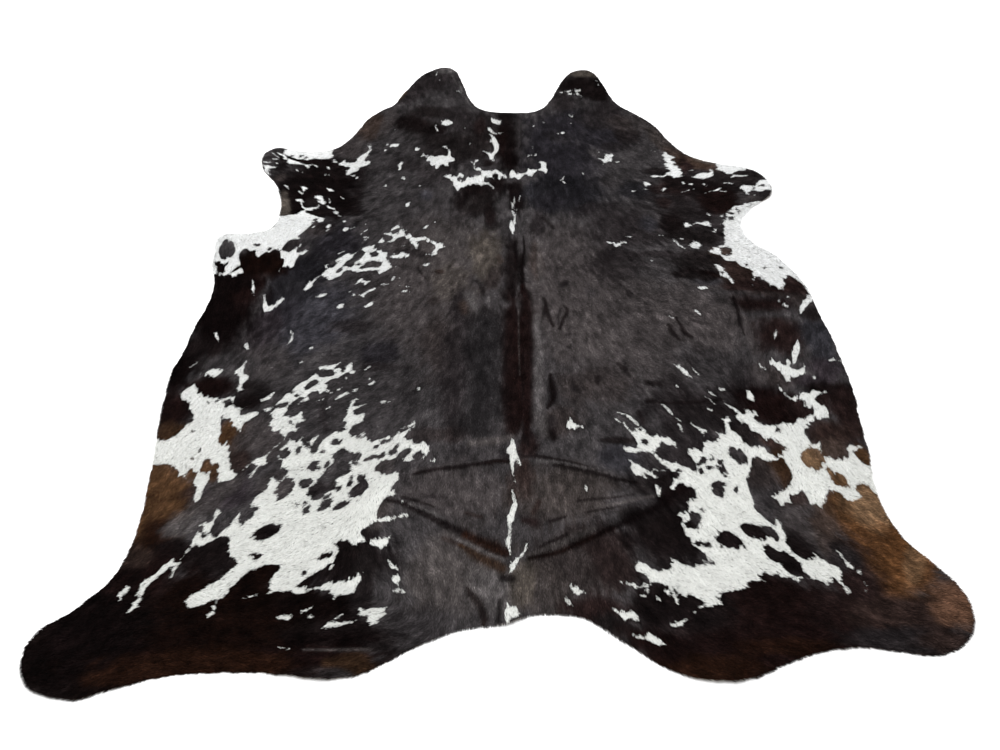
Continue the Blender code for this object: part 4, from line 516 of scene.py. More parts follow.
    "left side": dict(patches="""
-58.8,-1.8 -58,-.2 -57.5,1.2 -57,2 -56.4,1.4 -56.2,2.2 -55.7,3.2 -55,4 -54,4.6 -53.4,5.6 -53,6.8 -53.4,7.6
-53.8,8.4 -53,9 -52.4,9.4 -52.6,8.2 -52,7.4 -51,7.6 -50.4,8.4 -49.7,9.1 -49.8,10 -50.4,10.3 -51.4,9.8
-50.8,10.8 -49.7,11.6 -48.8,12.4 -47.9,13.2 -47,13.3 -46.2,13 -45.2,13.9 -44.3,14.2 -44.9,13.4 -45.6,12.4
-45.5,11.6 -46.4,10.9 -47.3,10.3 -47.9,8.8 -47.3,8.4 -46.4,7.9 -45.5,8 -44.8,8.8 -44.6,9.6 -44.9,10
-44,10.6 -43.2,11.2 -42.8,12.1 -42.4,13.2 -42,14.2 -42.2,15.2 -43.1,15.4 -44.3,15.2 -44,15.8 -42.8,16
-41.9,16.6 -41.2,17.2 -40.4,17 -39.6,17.5 -39.4,16.9 -39.6,16 -38.9,15.4 -37.7,15.1 -36.5,14.8 -35.9,13.9
-35.3,13 -34.6,12.2 -35.4,11.6 -35.4,10.8 -34.4,10 -33.6,8.8 -33.5,8 -32,8 -33.6,7.3 -34.4,6.4 -35.6,5.6
-36.8,4.8 -37.6,4.3 -37.1,5.2 -37.4,6.1 -38.6,6.4 -40.1,6.4 -41.6,6.1 -43.1,5.8 -44.3,5.6 -45.5,6
-46.6,6.6 -47.3,6 -47.8,4.8 -48.8,3.7 -50,3.2 -50.8,2.2 -51.5,2.5 -52,3 -52.7,3.6 -53.4,4 -54,4 -54.8,3.2
-55.4,2.2 -55.8,1.3 -56,.1 -56.6,-1.1 -57.5,-2 -58.1,-1.6 /
-38.9,18 -38.3,18.8 -37.8,20.2 -37.1,21.2 -36.5,21.8 -37,22.6 -36.2,22.9 -35,23 -34.4,22.4 -33.5,22.2
-32.4,22.4 -32.4,23.5 -32.3,24.2 -31.6,24.6 -31,24.1 -29.9,24.2 -30.5,23.5 -30.8,22.4 -29.8,21.8
-28.7,21.8 -27.5,21 -26,20.8 -24.5,21 -23.6,21 -22.7,20 -21.6,19 -20,18.6 -19.2,17.6 -17.9,17.2 -17.2,16.6
-18.2,15.8 -19.6,15.4 -20.2,14.5 -19.8,13.3 -20.9,12.8 -21.8,12.4 -22.7,13 -24,13.6 -23,13.8 -21.8,13.4
-21,13.9 -21.5,14.6 -20.8,15.4 -20.9,16.4 -21.5,17.6 -22.7,18.6 -23.9,19.3 -25.2,19.6 -26.4,19.3
-26.9,18.6 -25.8,17.6 -26.2,17 -26.2,15.6 -27.2,16.2 -27.2,17 -27.5,17.6 -28.2,18.1 -28.7,19.2 -29.2,20.2
-30,20.8 -31.7,20.8 -32.8,20.2 -33.4,19.2 -34.1,18.7 -35,18.4 -36.2,18.2 -37.7,18.2 /
-34.2,12.2 -33.4,13 -32.3,12.8 -31.1,13.9 -30.2,14.2 -29,13.9 -28.4,12.8 -28.8,12 -30,12 -31.1,11.6
-32.3,11.2 -33.2,11.6 /
-44.2,21 -43.2,21.2 -42.6,20.8 -41.6,20.8 -41,20.2 -41.9,19.8 -42.5,19 -43.1,19.3 -42.5,20.2 -43.4,20.5 /
-50.2,24.7 -49.8,25.3 -49.4,24.8 -48.4,24.8 -47.3,25.3 -45.8,25.6 -47,24.8 -48.5,24.1 -49.2,23.6
-50,24.1 /
-44.3,-.2 -43.4,.8 -43,2.2 -42.2,3.2 -41.3,2.8 -40.4,1.9 -38.8,2.2 -39.8,1.4 -40,.8 -40.8,.1 -41.6,-.5
-40.8,.8 -41.3,1.4 -42.2,1.4 -43,.8 -43.7,.2""",
        streaks="""
-34.6,24.2,.8 -33.4,25.2,1.5 -32.2,25.3,.8 / -31.3,17,.5 -30.1,17,.5 / -50.1,13.4,.5 -48.9,14.4,.6 /
-43.7,23,.6 -42.6,24.1,.7 / -44.2,22,.4 -43.7,23,.4 / -44,25.5,.3 -43,27,.4 /
-43.6,-3.5,.8 -42.2,-3.8,.6 -40.8,-3.5,1 -39.6,-2.3,.6 -38.3,-1.6,.9 -37.4,-1,.7 /
-40.8,-3.5,1 -40.2,-4.6,.6 / -54.1,-4.6,.6 -53,-4,1.1 -51.8,-3.4,.8 / -44.6,-2.3,.4 -43.9,-1.9,.3 /
-32.6,2.8,.8 -32.5,3.4,.8 / -30.6,3.1,.5 / -35.8,.5,.4 -34.9,.6,.6 -34,.6,.4 /
-30.4,.3,.5 -29,-.2,.6 -27.8,-.3,.3 / -29.6,-2.2,.5 -28.4,-2.2,.6 -27.2,-2.3,.3 /
-23.8,8.6,.8 -22.2,9.1,.8 / -24.9,24.8,.8 -24,25.8,1 -22.8,26.8,.4 / -21.5,27.7,.8 /
-39.5,-8,.9 -38.2,-7.2,1.5 -37.7,-6.4,.8 / -74,2.2,.4 -73.2,-.8,1.1 -72.5,-3.8,.4 /
-69.3,-3.9,.5 -68.6,-7,1.3 -67.5,-9.5,2.2 -65.5,-7.5,1.2 -63.9,-5.4,1 /
-80.4,-18,.4 -79.5,-19.4,1.1 -78.7,-20.9,.4 / -71,-22,.7 -70.2,-23.6,1.2 /
-59.3,-17.5,.9 -58.5,-19,.9 -58.9,-21,.8 -59.4,-22.4,.3 / -46.6,-8,1.7 / -52.7,-23.6,1""",
        islands="""
-42.8,7 -43,7.6 -42,8.4 -41.6,9.4 -40.6,10.2 -39.2,10.6 -37.7,10.4 -36.6,9.8 -36.5,8.8 -37.2,7.9 -38.6,7.4
-40.4,7.4 -41.6,7.3 -42.4,6.7""",
        spots="""
-39.2,13.3,1.2,.95,0 / -48.8,6.6,.5,.75,-25 / -35.8,20.4,1.35,1.3,0 / -43.4,9,.4,.25,0"""),
    "left foreleg and elbow": dict(patches="""
-75.5,62 -72.5,60.5 -70,59.3 -66,58.7 -64,59.5 -59,59.3 -58,61 -58.5,66 -74,66 /
-80.5,55.4 -79.1,55.7 -78,55.2 -76.4,55.2 -76.4,54.2 -78,54 -78.7,53 -78,51.7 -76.9,50.3 -78,50.6
-79.8,52.4 /
-75.3,59.6 -74.4,60.4 -73.1,59.6 -71.7,59 -70.2,58.4 -69.2,57.8 -68.1,57 -66.2,56.5 -64.2,56.5 -63.4,57.2
-63,56.9 -62.8,56 -62.3,55.2 -62.8,55 -63.6,55.7 -64.2,56 -65.4,55.8 -65.2,55 -66,54.3 -66.4,55.2
-67.3,55.7 -68.4,56.4 -69.8,56.6 -71.4,56.6 -72.8,56.8 -73.5,57.8 -73.6,58.6 -74.7,59 /
-58,59.1 -56.8,58.9 -56.2,58.2 -56.6,57.4 -57.2,57.8 /
-56,55.8 -55.9,57.2 -54.6,58 -54.2,59.2 -53.6,59.1 -53.2,58 -51.9,57.5 -50.5,57.6 -49.6,58.3 -49.7,59.6
-49,61 -47.9,62.4 -46.8,63.1 -46.4,64.4 -46.6,65.4 -47.8,67.2 -46.4,67.6 -45.3,66.3 -45,64.9 -45.4,63.6
-46.2,62.4 -46.1,61.3 -46.8,60.2 -46.6,59.1 -45.7,58.2 -44.8,57.4 -43.4,57 -44.4,56.6 -45.3,56.4
-45.3,55.6 -46.6,55.6 -47.6,55.2 -48.6,54.2 -48.3,53.2 -49.4,52.6 -50.5,52 -51.3,51 -50.2,50.8 -48.8,50.6
-48.2,49.8 -48,48.4 -48.8,49.2 -50.2,49.9 -51.6,50.3 -52.8,51 -54.1,51.7 -53,51.6 -52.3,52.2 -52.4,53.4
-51.6,54.2 -52,55.2 -53.6,55.7 /
-67.3,45.1 -66.2,45.3 -64.8,44.8 -64,44 -64,43.3 -65,42.6 -65.9,42.9 -66,43.8 -66.8,44.6 /
-65.8,39.4 -65.1,38.9 -64.4,37.4 -65.2,37.1 -66.4,37.4 -67,38.2 -66.6,38.9 /
-62.8,34.4 -61.8,34.6 -61.1,34.9 -60,34.8 -59.8,35.9 -58.9,36 -58.9,34.9 -59.6,34.2 -60.7,33.7 -60,32.3
-60.8,32.7 -61.8,33 -62.6,32.8 -64.2,33.2 /
-62,40 -60.4,40.3 -59.3,40.6 -58.2,39.4 -58.1,38.2 -57.2,37.2 -56.8,36.2 -58.2,36.2 -59.4,37 -59.6,38.2
-60.7,38.9 /
-72.5,30.5 -69.5,30.8 -66,31.5 -64,33.3 -62.9,33.1 -62.6,32.4 -60.4,31.2 -59,30.5 -57.1,29.7 -56.4,28.8
-56.7,27.9 -57.6,27.6 -59,27.6 -60,26.6 -60.8,25 -62.5,22.5 -63.7,21.3 -62.8,20.2 -65,19.8 -66.5,18.7
-67.3,16.5 -68,15 -69.5,15.2 -71.5,14.3 -72.8,13.5 -74,12 -75.2,13 -75.5,14.8 -77.5,15 -78.3,16 -79.5,15
-80.2,14 -79.5,11 -78.5,8 -77,5.2 -79,4.5 -80.3,3.7 -82,4.5 -85,5 -92,5 -92,26 -75,27 /
-68.3,15.5 -66.8,15 -65.5,13.7 -64.5,15 -63,17 -62,18.2 -61.7,17.5 -62.7,16 -63,14.7 -62,14.2 -60.5,15
-59,15.5 -59,14.7 -61.8,12.8 -62.5,11 -62.7,8.3 -65,8 -66.5,6.5 -67,5.3 -66,9.5 -66.3,11 -67.3,11.5""",
        spots="""
-84.2,15,2.2,3.8,10 / -61.6,32.2,1.2,.5,-30 / -59.4,28.2,.7,.7,0 / -79.8,7,.3,1.2,-40 /
-83.5,8.5,.3,1.6,-20 / -75.5,17.3,.8,.3,0 / -71.3,15.7,.4,.4,0 / -72.4,60.4,.3,.9,-40 /
-68.9,61,.3,.7,-50 / -67.2,60.2,.4,.4,0 / -77.2,52.4,.3,1.2,-35""",
        islands="""-87.2,10.2 -85.5,10 -84,9 -83.3,7 -82.8,5.7 -84.8,5.3 -85.8,7.5""",
        streaks="""
-79,62,.5 -77.6,60.8,.8 -76.4,59.8,.6 / -76.8,62,.8 -74.2,60.5,1 / -80.8,57,.7 -78.4,57,.8 /
-78.5,58.8,.6 -76.5,58.7,.7 / -76.4,56.6,.8 / -66.6,42.4,.4 -65.7,41.6,.7 -65.4,40.8,.4 /
-65.1,37.1,.5 -64.7,35.8,.6 -64,34.5,.7 -62.6,34,1 / -56.4,38.7,.6 -56,37.5,1.1 -55.7,36.6,.6 /
-56.7,35.5,.5 -55.5,34.5,.8 -54.2,33.8,.9 -53.2,32.3,.8 -52.4,30.8,.5 -51.4,30,.3 /
-57.6,43.9,.5 -56.6,43.2,1.4 -55.3,42.6,.4 / -72.6,46,.4 -71,44.8,.9 -69.7,43.2,.4 /
-69.3,53.6,.8 -68.4,52.7,.5 / -67,52.5,.5 / -58.9,55,.7 -58.6,54.2,.6 / -59.8,51.1,.5 -58.2,50.9,.6 /
-52.7,39.7,.3 -51.4,38.6,.4 / -54.8,26.4,1.1 -54.7,24.5,1 -55,23.6,.4 / -59.6,25,.8 -59,26,.7"""),
    "left shoulder and neck": dict(patches="""
-28,60.9 -27.4,62.3 -26.6,62 -25.3,61.8 -24.4,61 -22.6,61 -21.2,61.7 -19.5,61.4 -18.9,61.8 -19,63.2
-19.2,65 -20,65.9 -21.2,66.2 -20.4,67 -19.4,67.2 -19.2,66 -18.2,65 -17.8,63 -17.6,61.4 -16.8,60 -16,58.7
-16.7,58.1 -18.1,58.2 -18.6,57.3 -18.4,56.4 -17,55.9 -16.6,55 -17.4,55.3 -18.9,55.9 -20.4,56.7 -21.2,55.8
-22,54.6 -22.8,54.8 -23.2,55.8 -24.4,56.7 -25,58 -26.8,58.4 -26,59 -26,60.3 /
-20,50.6 -18.2,51 -16.4,50.4 -15.1,50.8 -14.8,51.8 -13.6,52 -12.8,50.8 -11.7,49.8 -10.4,50.1 -8.9,50.4
-7.4,50.8 -7.2,51.6 -7.6,52.8 -8.7,53.6 -9.6,53.6 -10.1,54.5 -10,55.9 -10.4,57 -10.8,57.8 -9.8,58
-9.5,59.2 -8.6,59.5 -8.1,58.6 -9.2,57.8 -9.4,56.4 -9.2,55.1 -8,54.5 -6.4,53.6 -5.1,53.1 -3.9,53.2 -3.2,54
-2.2,53.8 -.8,52.6 .8,51 2,48.9 .8,49.4 -.3,50 -1,48.7 -1.8,49 -1.8,50.1 -1.6,51.2 -2.2,51.8 -3,51.7
-3.4,50.4 -2.8,49 -3.9,49.2 -4.6,50.1 -5.8,50.3 -6.2,49.5 -6.2,48 -6.4,46.9 -4.8,46.9 -3.7,46.1 -2.9,44.8
-2.9,43.6 -3.7,44.2 -4.2,45.3 -5.1,46.1 -6.4,46 -7,45.4 -8.9,46 -10.8,45.9 -12.6,44.8 -14,44.2 -14.6,42.4
-15.3,43 -15.8,44.5 -16.4,46 -17,47.6 -18.2,49.5 /
2,52 2.8,53.4 3.8,53.4 4.1,52 5.2,51.4 6.4,51.6 7.6,52.8 8.2,53.6 8.3,54.8 9.1,54.2 10.8,54 12.6,54.5
12.8,56.4 12.7,57.3 11.8,57.4 12.2,58.2 13.6,58.4 14.9,57.6 14.7,56 14.7,54.5 15.2,53.2 14.4,52 13.4,52.2
12.7,53.1 11.4,52.8 10.4,51.8 9.6,50.3 8.3,50.8 6.9,50.9 6.1,49.5 5.4,48 4.6,48.9 4.1,49.8 3.3,49.4
3.2,47.6 2.6,49.5 2,50.4 /
-22,78.3 -21.9,81 -20.5,82 -18.3,81.5 -17.8,80.3 -19.5,78.7 / -4.5,83.3 -.3,81.5 -1,78.8 -2.5,79.3
-4,80""",
        spots="""-13.8,48.8,1.2,1,0 / -8.9,52,1.3,1.1,0 / -2.5,50.7,.8,1,0""",
        streaks="""
-34.3,57.5,1.09 -35,56,1.4 -34.7,54,.78 / -40,67.5,1.01 / -38.4,67,1.56 -36.6,67,1.56 /
-40.6,64.2,.78 -39.8,64.2,.78 / -29.5,65.3,1.79 / -33,49.3,1.72 / -38.7,45.2,.94 / -30.7,36.2,1.72 /
-50,28,1.09 / 5.6,40.4,.2 5.3,39,.4 4.9,37.6,.7 / 3.7,40,.2 3.6,38.4,.7 3.6,36.6,.5 /
3,36.4,.7 3.2,35.2,1.1 3.4,33.6,.7 / 3,32.6,.8 3.5,31,1.1 3.8,30,.8 / 4.3,33.4,.3 4.3,31.8,.7 4,30.2,.4 /
3.6,29.6,.9 3.6,28,.8 3.7,26.6,.8 / 2.4,27.6,1.1 2.8,25.6,2.1 3,24,1.6 3,22.4,.4 /
10.1,65,.62 10.4,66.4,.62 / 8.8,61.3,.62 9.8,61.4,.55 / 11.3,61.9,.94 / -11.4,68.1,.62 / -27.5,45.3,.78 /
26.7,51.5,.86 / 20.3,50,.62 19.4,48.3,1.17 20.4,46.7,.78 / -24.2,78,.94 -23.5,76.3,.94 -22.7,75,.31 /
-16.8,100,.94 -15.3,98.8,1.09 / -25,112,.55 -25.3,110.3,.7 /
-5.2,77.2,1.3 -4.6,75.6,1.6 -3.6,74.3,1.2 -1.8,73.4,1 -.6,73.8,.9 .2,74.4,.4 /
-4.8,73.6,.6 -3.8,72.4,1.1 -3.2,70.8,1.6 -2.9,69,2.3 -2.3,67.2,2.2 -2.2,65.4,1.7 -2.4,64,1.5 -3.2,62.6,1.5
-3.9,61.4,1.9 -3.9,60,1.7 -3.3,58.8,1.1 -2.7,58,.3 /
-5,70.2,.4 -4,69.2,1 -3.2,68.4,1.2 / -6.8,63.8,.4 -5.6,62.9,1 -4.4,61.9,1.4 / -29,108.3,.47 /
-27,112,.55 / -24,107,.7 / -38.3,76,.7 / -13.5,77.2,.62"""),
    "right shoulder and neck": dict(patches="""
23.5,85.3 25.5,85 25.3,83.7 24.3,83.3 /
32.5,59.7 34.5,59.8 35,61.8 36.5,62.2 38,63.2 37.8,60.8 37,58.8 35,57.8 34.6,56 33.6,56.3 33.7,58.3 /
55.4,63.3 55.9,63.6 56.4,62.3 57.5,61.4 58.7,60.5 58.4,59.8 57.4,59.2 57.9,57.7 58.2,56.2 59.1,55.4
59.7,53.9 59.8,52.2 60,50.5 59,49.6 57.5,49.6 56.7,49 56.2,50.3 54.9,50.8 53.8,49.9 52.6,49.6 52,50
50,49.6 48.5,50.8 50,50.9 53.5,50.8 54.1,51.6 55.5,52.2 55.8,53.3 55.2,55.1 54.4,56.5 55.4,57.1 55.1,58.5
54.6,59.2 55.4,60.2 54.1,61.7 55.2,62.3 /
45.6,47.2 46.3,47.6 48.2,47.3 48.3,46.2 47.6,44.6 46.6,45 46.4,46.2""",
        streaks="""
19,73.5,.55 20.8,74,1.01 22.2,74.2,.47 / 20.5,99,.55 22,99,.47 /
22.5,99.5,.55 24.5,100,.94 26,100.3,.62 27,101.5,.78 / 24,99.5,.94 24.5,98,1.01 26.5,97.7,.47 /
27,101.3,.78 27.3,100,1.01 27.5,98.5,.94 28.6,97,1.17 / 27.5,100.2,.78 29,100.5,.62 / 11,78.4,.94 /
14.5,80.3,.86 / 24.3,79.8,.7 / 34.2,106.2,.78 / 35.3,106.5,.94 / 36,103.7,.86 /
50.8,64.3,.47 52.9,63.3,.47 / 39,57.7,1.4 / 45.2,43.4,.55 47.3,43.5,.62 / 42.4,42.6,.78 43.2,42.6,.78 /
52.3,42.8,.78 53,43.9,.7 / 33,63,.78"""),
    "right foreleg and elbow": dict(patches="""
71.9,53.3 72.5,53 73.7,52.9 75.3,51.8 76.6,51.2 77.3,51.9 78,52.8 79.8,53.2 81.2,53 82,53.6 81.5,56.5
78,58 72,58 72.2,55.5 /
77.9,44.1 78.1,45.4 79.1,45.7 81.1,45.4 82.8,44.9 83.8,46.4 84.8,47.6 88,47.6 88,42.1 85.4,42.4 84.3,42.1
83.4,41.6 82.5,42.3 81.1,42.6 79.9,42 80.5,41 79.6,40.7 78.9,41.6 78.8,43 /
62.4,50 64.1,50.3 65.3,51.6 66.7,52.3 67.9,52.1 69,52.2 69.6,53.1 69,53.6 68.3,54.2 69.9,53.6 70.7,52.8
70,51.6 69.6,50.3 68.4,49.5 66.7,48.7 65.3,49 63.8,49.2 /
78.3,36.8 76.2,36 74.4,35.1 72.6,33.9 71.7,33 71,31.7 70.3,30.7 71,30.1 70.6,29.3 69.6,28.4 69.2,27
68.9,24.9 68.5,22.3 68.1,19.9 67.8,18.3 66.9,16.9 65.4,16.9 65.1,16.1 64.2,15.4 63.1,15.3 62.3,14.9
62.9,13.7 64.2,13.3 65.5,12.8 66.3,11.8 66.8,10.4 68.4,10.6 69.7,10.4 70.3,9.4 71.3,8.1 72.3,7.4 73.4,7
74,6.1 74,4.7 73.6,2.8 73.1,.2 74,2.8 74.5,3.6 75.9,3.6 76.2,2.6 77,3.1 77.6,1.3 78.3,-.1 79.1,.3 79.8,-.1
80.2,-1.1 81.2,-.8 81.9,-2.9 82.4,-.1 82.7,2 83.3,3.4 84.6,4.1 86,3.1 87.5,1.3 88.1,-1.1 88.8,-3.2 94,-3
94,30 86,38 81.5,37.6 /
57.3,17 57.8,18 58.8,19 60.4,18.4 60.6,17 60,16.2 58.8,15.5 57.8,16 /
63.3,8.7 63.8,9.2 64.5,8.8 65.5,8 66.5,7 67.3,5.6 66.6,6 65.8,6.6 66.3,5.8 66.7,4.9 67.2,3.5 67.8,1.4
67.2,1 66.8,2 66.2,3.2 65.5,3.6 64.6,4.2 64.2,5.5 64,6.6""",
        islands="""
66.8,16.1 68.4,16.3 69.6,15.6 69.7,14.4 69.3,13.3 68.4,13.2 67.5,12.7 66.5,12.9 66,14 66.1,15.4""",
        spots="""
85.1,44.9,.6,.35,0 / 82.2,43.7,.4,.3,0 / 68.7,52.6,.7,.4,20 / 72.8,31.8,.5,.35,0 / 72,29.3,.8,.45,35 /
75.2,32.8,.3,.2,0 / 74.7,34.1,.3,.5,0 / 75.1,31.7,.3,.3,0 / 79.4,35.5,.5,.2,40 / 65.2,5.3,.35,.5,0 /
73,8.7,.35,.3,0 / 78,7.5,.4,.3,0 / 83,7.5,.4,.3,0""",
        streaks="""
62.2,53.2,.5 63.7,53.3,.5 / 76,49.7,.5 77.3,50.6,1 79,50.4,1 81.6,50.5,.5 /
71.9,46.3,.6 73.5,46.9,.9 75.9,46.6,.8 / 81.8,40.4,.8 / 59.4,46.8,1.2 / 62,46.2,1 /
66.1,46.4,.8 66.9,45.3,.9 / 62.5,43.6,.6 / 58.4,42.2,.6 60.8,43,.6 / 68.9,42.7,.5 70,43.3,1 71.2,44.1,.8 /
71.6,42.7,.5 73.4,42.4,.5 / 66.2,41.8,.3 68,42.6,.4 / 65.5,31.2,1.1 / 69,30.1,.7 69.8,31,.8 /
68.2,31.7,.6 / 57,25.2,.5 57.8,26.8,1.4 59,26,.7 /
60,26.6,.6 61.2,27.3,.9 62.5,26.8,1.2 64.3,27.2,1.8 64.8,26,.8 / 65.6,23.3,.5 67.5,25,.8 /
68.2,26.7,.6"""),
    "right side": dict(streaks="""
32.3,18.5,.5 34,18,.8 35,17.3,2.2 36.5,18.5,.8 37.6,18.7,.6 /
52.3,19.8,.6 53.2,18.8,.8 53.8,17.2,.7 54.8,16.5,.8 55.5,15.9,.5 / 53.8,20.3,.4 55.5,20,.5 /
56.8,-.6,.4 57.7,-.8,.8 58.8,-.5,.9 59.6,-1,.4 / 82.2,-4.6,.5 83,-4,.6 / 54.8,-9.7,.7 56,-11.3,.5 /
47,-11.7,.6 48.5,-12.8,.4 / 88.9,-4.4,2 87,-6.5,2 85.5,-8.6,1.7 84.6,-10.6,.4 / 79.5,-6,.7 81,-8,1.2 /
76.3,-16.8,.3 75.6,-18.6,1 75,-20.3,.3 /
81.4,-20.4,.4 81,-22,1.2 80.2,-24,1.9 79.3,-26,1.7 78.5,-28.3,1.1 78,-29.6,.3 / 38.2,21,.6 39.8,21,.6 /
48.4,21.7,.5 49.4,21.7,.5 / 44.3,10.5,.5 45.2,10.3,.4 / 3,-5.8,.3 3.1,-6.8,.4"""),
}

# ---- how the hair lies: x, y, heading in degrees (0 is +X, -90 is to the tail) ----
HAIR_FLOW = """
5,85,-90 / 4,50,-90 / 4,20,-90 / 4,-20,-90 / 3,-60,-90 / 2,-90,-90 / -20,0,-110 / -45,0,-135 / -74,0,-80 /
-80,10,-85 / -45,-35,-140 / -50,-75,-145 / -75,-75,-130 / -78,-50,-115 / -85,-70,-110 / -90,-105,-150 /
-60,-104,-175 / -30,-100,-165 / -65,48,155 / -45,60,-125 / -25,100,-80 / 20,0,-70 / 45,0,-50 /
45,-40,-55 / 50,-75,-60 / 65,-85,-45 / 85,-85,-35 / 95,-97,-20 / 60,-100,-20 / 78,-25,-105 / 70,-62,-75 /
75,20,-40 / 70,50,10 / 82,45,-10 / 45,70,-50 / 30,100,-100 / -25,-87,-60"""

# ---- the folds of the skin, as the part's solid has them: height and widths on the left and
# right of the crest, then the crest's x,y from its strong end ----
FOLDS = """
.7,3.4,3 4.6,24 4.4,6 5,-12 4.8,-32 4,-52 / .9,3.6,2 1.5,-59.5 -8,-60.5 -18,-62.2 -29,-64 /
.9,2,3.6 5,-57.2 14,-59.4 24,-62.6 36,-63.6 / 1.2,2.2,4.2 1.5,-81.6 -6,-79 -16,-73.6 -29,-68 /
1.2,4.2,2.2 6,-83 14,-79.6 25,-74.4 38,-69 / .6,2.6,2.6 .5,-86.4 -7,-83 -16,-79.4 /
.5,3,3 -5,-98 -5.8,-94 -8.6,-89.6 / .6,3.6,2.4 58,-2.6 70,-3.4 84,-4 /
.6,2.4,2.4 66.6,-7 66.6,-13 67.4,-20 / .5,3.2,2.4 46,8 56,7.4 66,6.6 /
.5,2.6,2.6 24,-50.6 36,-44.6 56,-40 / .5,2.6,2.6 -44,-60.4 -57,-61.4 -66,-63 /
.6,3.4,2 98,-99.4 86,-99.6 74,-99.2 / .5,2.8,2.8 -24,-102.6 -38,-102.4 -54,-103.4"""

# ---- where the cut edge curls a little off the floor: height, reach, x, y ----
CURLS = """
.5,13,-22,115 / .7,12,31,113 / .8,12,-82,59 / .7,13,88,45 / .5,9,-88,21 / .4,12,-90,-34 / .4,14,92,-22 /
.7,13,-101,-107 / .6,12,101,-94 / .4,11,-40,-112 / .5,12,44,-112 / .4,6,1,-99"""


# ------------------------------------------------------------------ reading the charts
def rows_of(entry):
    """An entry's places, each a list of its numbers."""
    return [[float(n) for n in place.split(",")] for place in entry.split()]


def entries(chart):
    """A chart parted at its slashes, each entry an array with a row for each place."""
    return [np.array(rows_of(entry)) for entry in chart.split("/") if entry.strip()]


def on_floor(places):
    """Chart centimetres as metres from the middle of the rug."""
    return (np.asarray(places, float) - CHART_MIDDLE) * CM


def on_coat(places):
    """The same, for what the charts see on the coat: it stands a little nearer to the camera
    than the floor behind it, so it moves towards the camera's foot by the share that the
    coat's height is of the camera's."""
    floor = on_floor(places)
    return floor + (CAMERA[:2] - floor) * HAIR_TOP / CAMERA[2]


def wide_path(rows):
    """A band's middle line and its half-widths, from rows of x, y, width. A row alone is
    taken twice, which makes a dot."""
    rows = np.repeat(rows, 2, 0) if len(rows) == 1 else rows
    return on_coat(rows[:, :2]), rows[:, 2] * CM / 2


def linear(tone):
    """A named tone as linear light, by the sRGB curve."""
    shade = np.array(TONES[tone]) / 255.0
    return np.where(shade <= 0.04045, shade / 12.92, ((shade + 0.055) / 1.055) ** 2.4)


# ------------------------------------------------------------------ curves
def smoothstep(t):
    """0 below 0, 1 above 1, and between them three times the square less twice the cube."""
    t = np.clip(t, 0, 1)
    return t * t * (3 - 2 * t)


def half_cosine(share):
    """1 where the share is 0, down a half cosine to 0 where it is 1."""
    return 0.5 + 0.5 * np.cos(math.pi * np.clip(share, 0, 1))


def unit(vectors):
    """Plan vectors brought to length 1."""
    return vectors / np.maximum(np.hypot(vectors[..., 0], vectors[..., 1]), TINY)[..., None]


def smooth_curve(points, closed, per_span=8):
    """Points along the Catmull-Rom curve through the given rows, all columns alike: in each
    span a cubic whose slope at each end is half the way between that end's neighbours."""
    points = np.asarray(points, float)
    if closed:
        before, start = np.roll(points, 1, 0), points
        after, beyond = np.roll(points, -1, 0), np.roll(points, -2, 0)
    else:
        ends = np.vstack([2 * points[:1] - points[1:2], points, 2 * points[-1:] - points[-2:-1]])
        before, start, after, beyond = ends[:-3], ends[1:-2], ends[2:-1], ends[3:]
    t = (np.arange(per_span) / per_span)[None, :, None]
    p0, p1, p2, p3 = (p[:, None, :] for p in (before, start, after, beyond))
    curve = 0.5 * (2 * p1 + (p2 - p0) * t + (2 * p0 - 5 * p1 + 4 * p2 - p3) * t ** 2
                   + (3 * p1 - p0 - 3 * p2 + p3) * t ** 3)
    curve = curve.reshape(-1, points.shape[1])
    return curve if closed else np.vstack([curve, points[-1:]])


# ------------------------------------------------------------------ plan rasters
class Plan:
    """A raster of the rug seen from above: square cells, row 0 at the tail."""
    cols, rows = (int(n) for n in np.ceil(2 * PLAN_HALF / CELL))
    x = -PLAN_HALF[0] + (np.arange(cols) + 0.5) * CELL
    y = -PLAN_HALF[1] + (np.arange(rows) + 0.5) * CELL

    @classmethod
    def window(cls, low, high):
        """The cells between two corners, as slices, and where those cells are."""
        c0, c1 = np.searchsorted(cls.x, (low[0], high[0]))
        r0, r1 = np.searchsorted(cls.y, (low[1], high[1]))
        return (slice(r0, r1), slice(c0, c1)), *np.meshgrid(cls.x[c0:c1], cls.y[r0:r1])

    @classmethod
    def turned_window(cls, middle, margin, turn=0):
        """The cells within a margin of a place, and how far each lies along and across a
        line through that place, which is turned by the given degrees."""
        cells, x, y = cls.window(middle - margin, middle + margin)
        x, y, turn = x - middle[0], y - middle[1], math.radians(turn)
        return (cells, x * math.cos(turn) + y * math.sin(turn),
                y * math.cos(turn) - x * math.sin(turn))

    @classmethod
    def everywhere(cls):
        """All cell middles as rows of x, y."""
        return np.stack(np.meshgrid(cls.x, cls.y), -1).reshape(-1, 2)

    @classmethod
    def filled(cls, value, kind=float):
        """A raster that holds one value."""
        return np.full((cls.rows, cls.cols), value, kind)


def blended(field, column, row):
    """A raster's value at each place, given in cells: its four nearest cells' values, each
    by the place's nearness to it along both sides."""
    column = np.clip(column, 0, field.shape[1] - 1.001)
    row = np.clip(row, 0, field.shape[0] - 1.001)
    c, r = column.astype(int), row.astype(int)
    u, v = column - c, row - r
    if field.ndim == 3:
        u, v = u[..., None], v[..., None]
    return ((field[r, c] * (1 - u) + field[r, c + 1] * u) * (1 - v)
            + (field[r + 1, c] * (1 - u) + field[r + 1, c + 1] * u) * v)


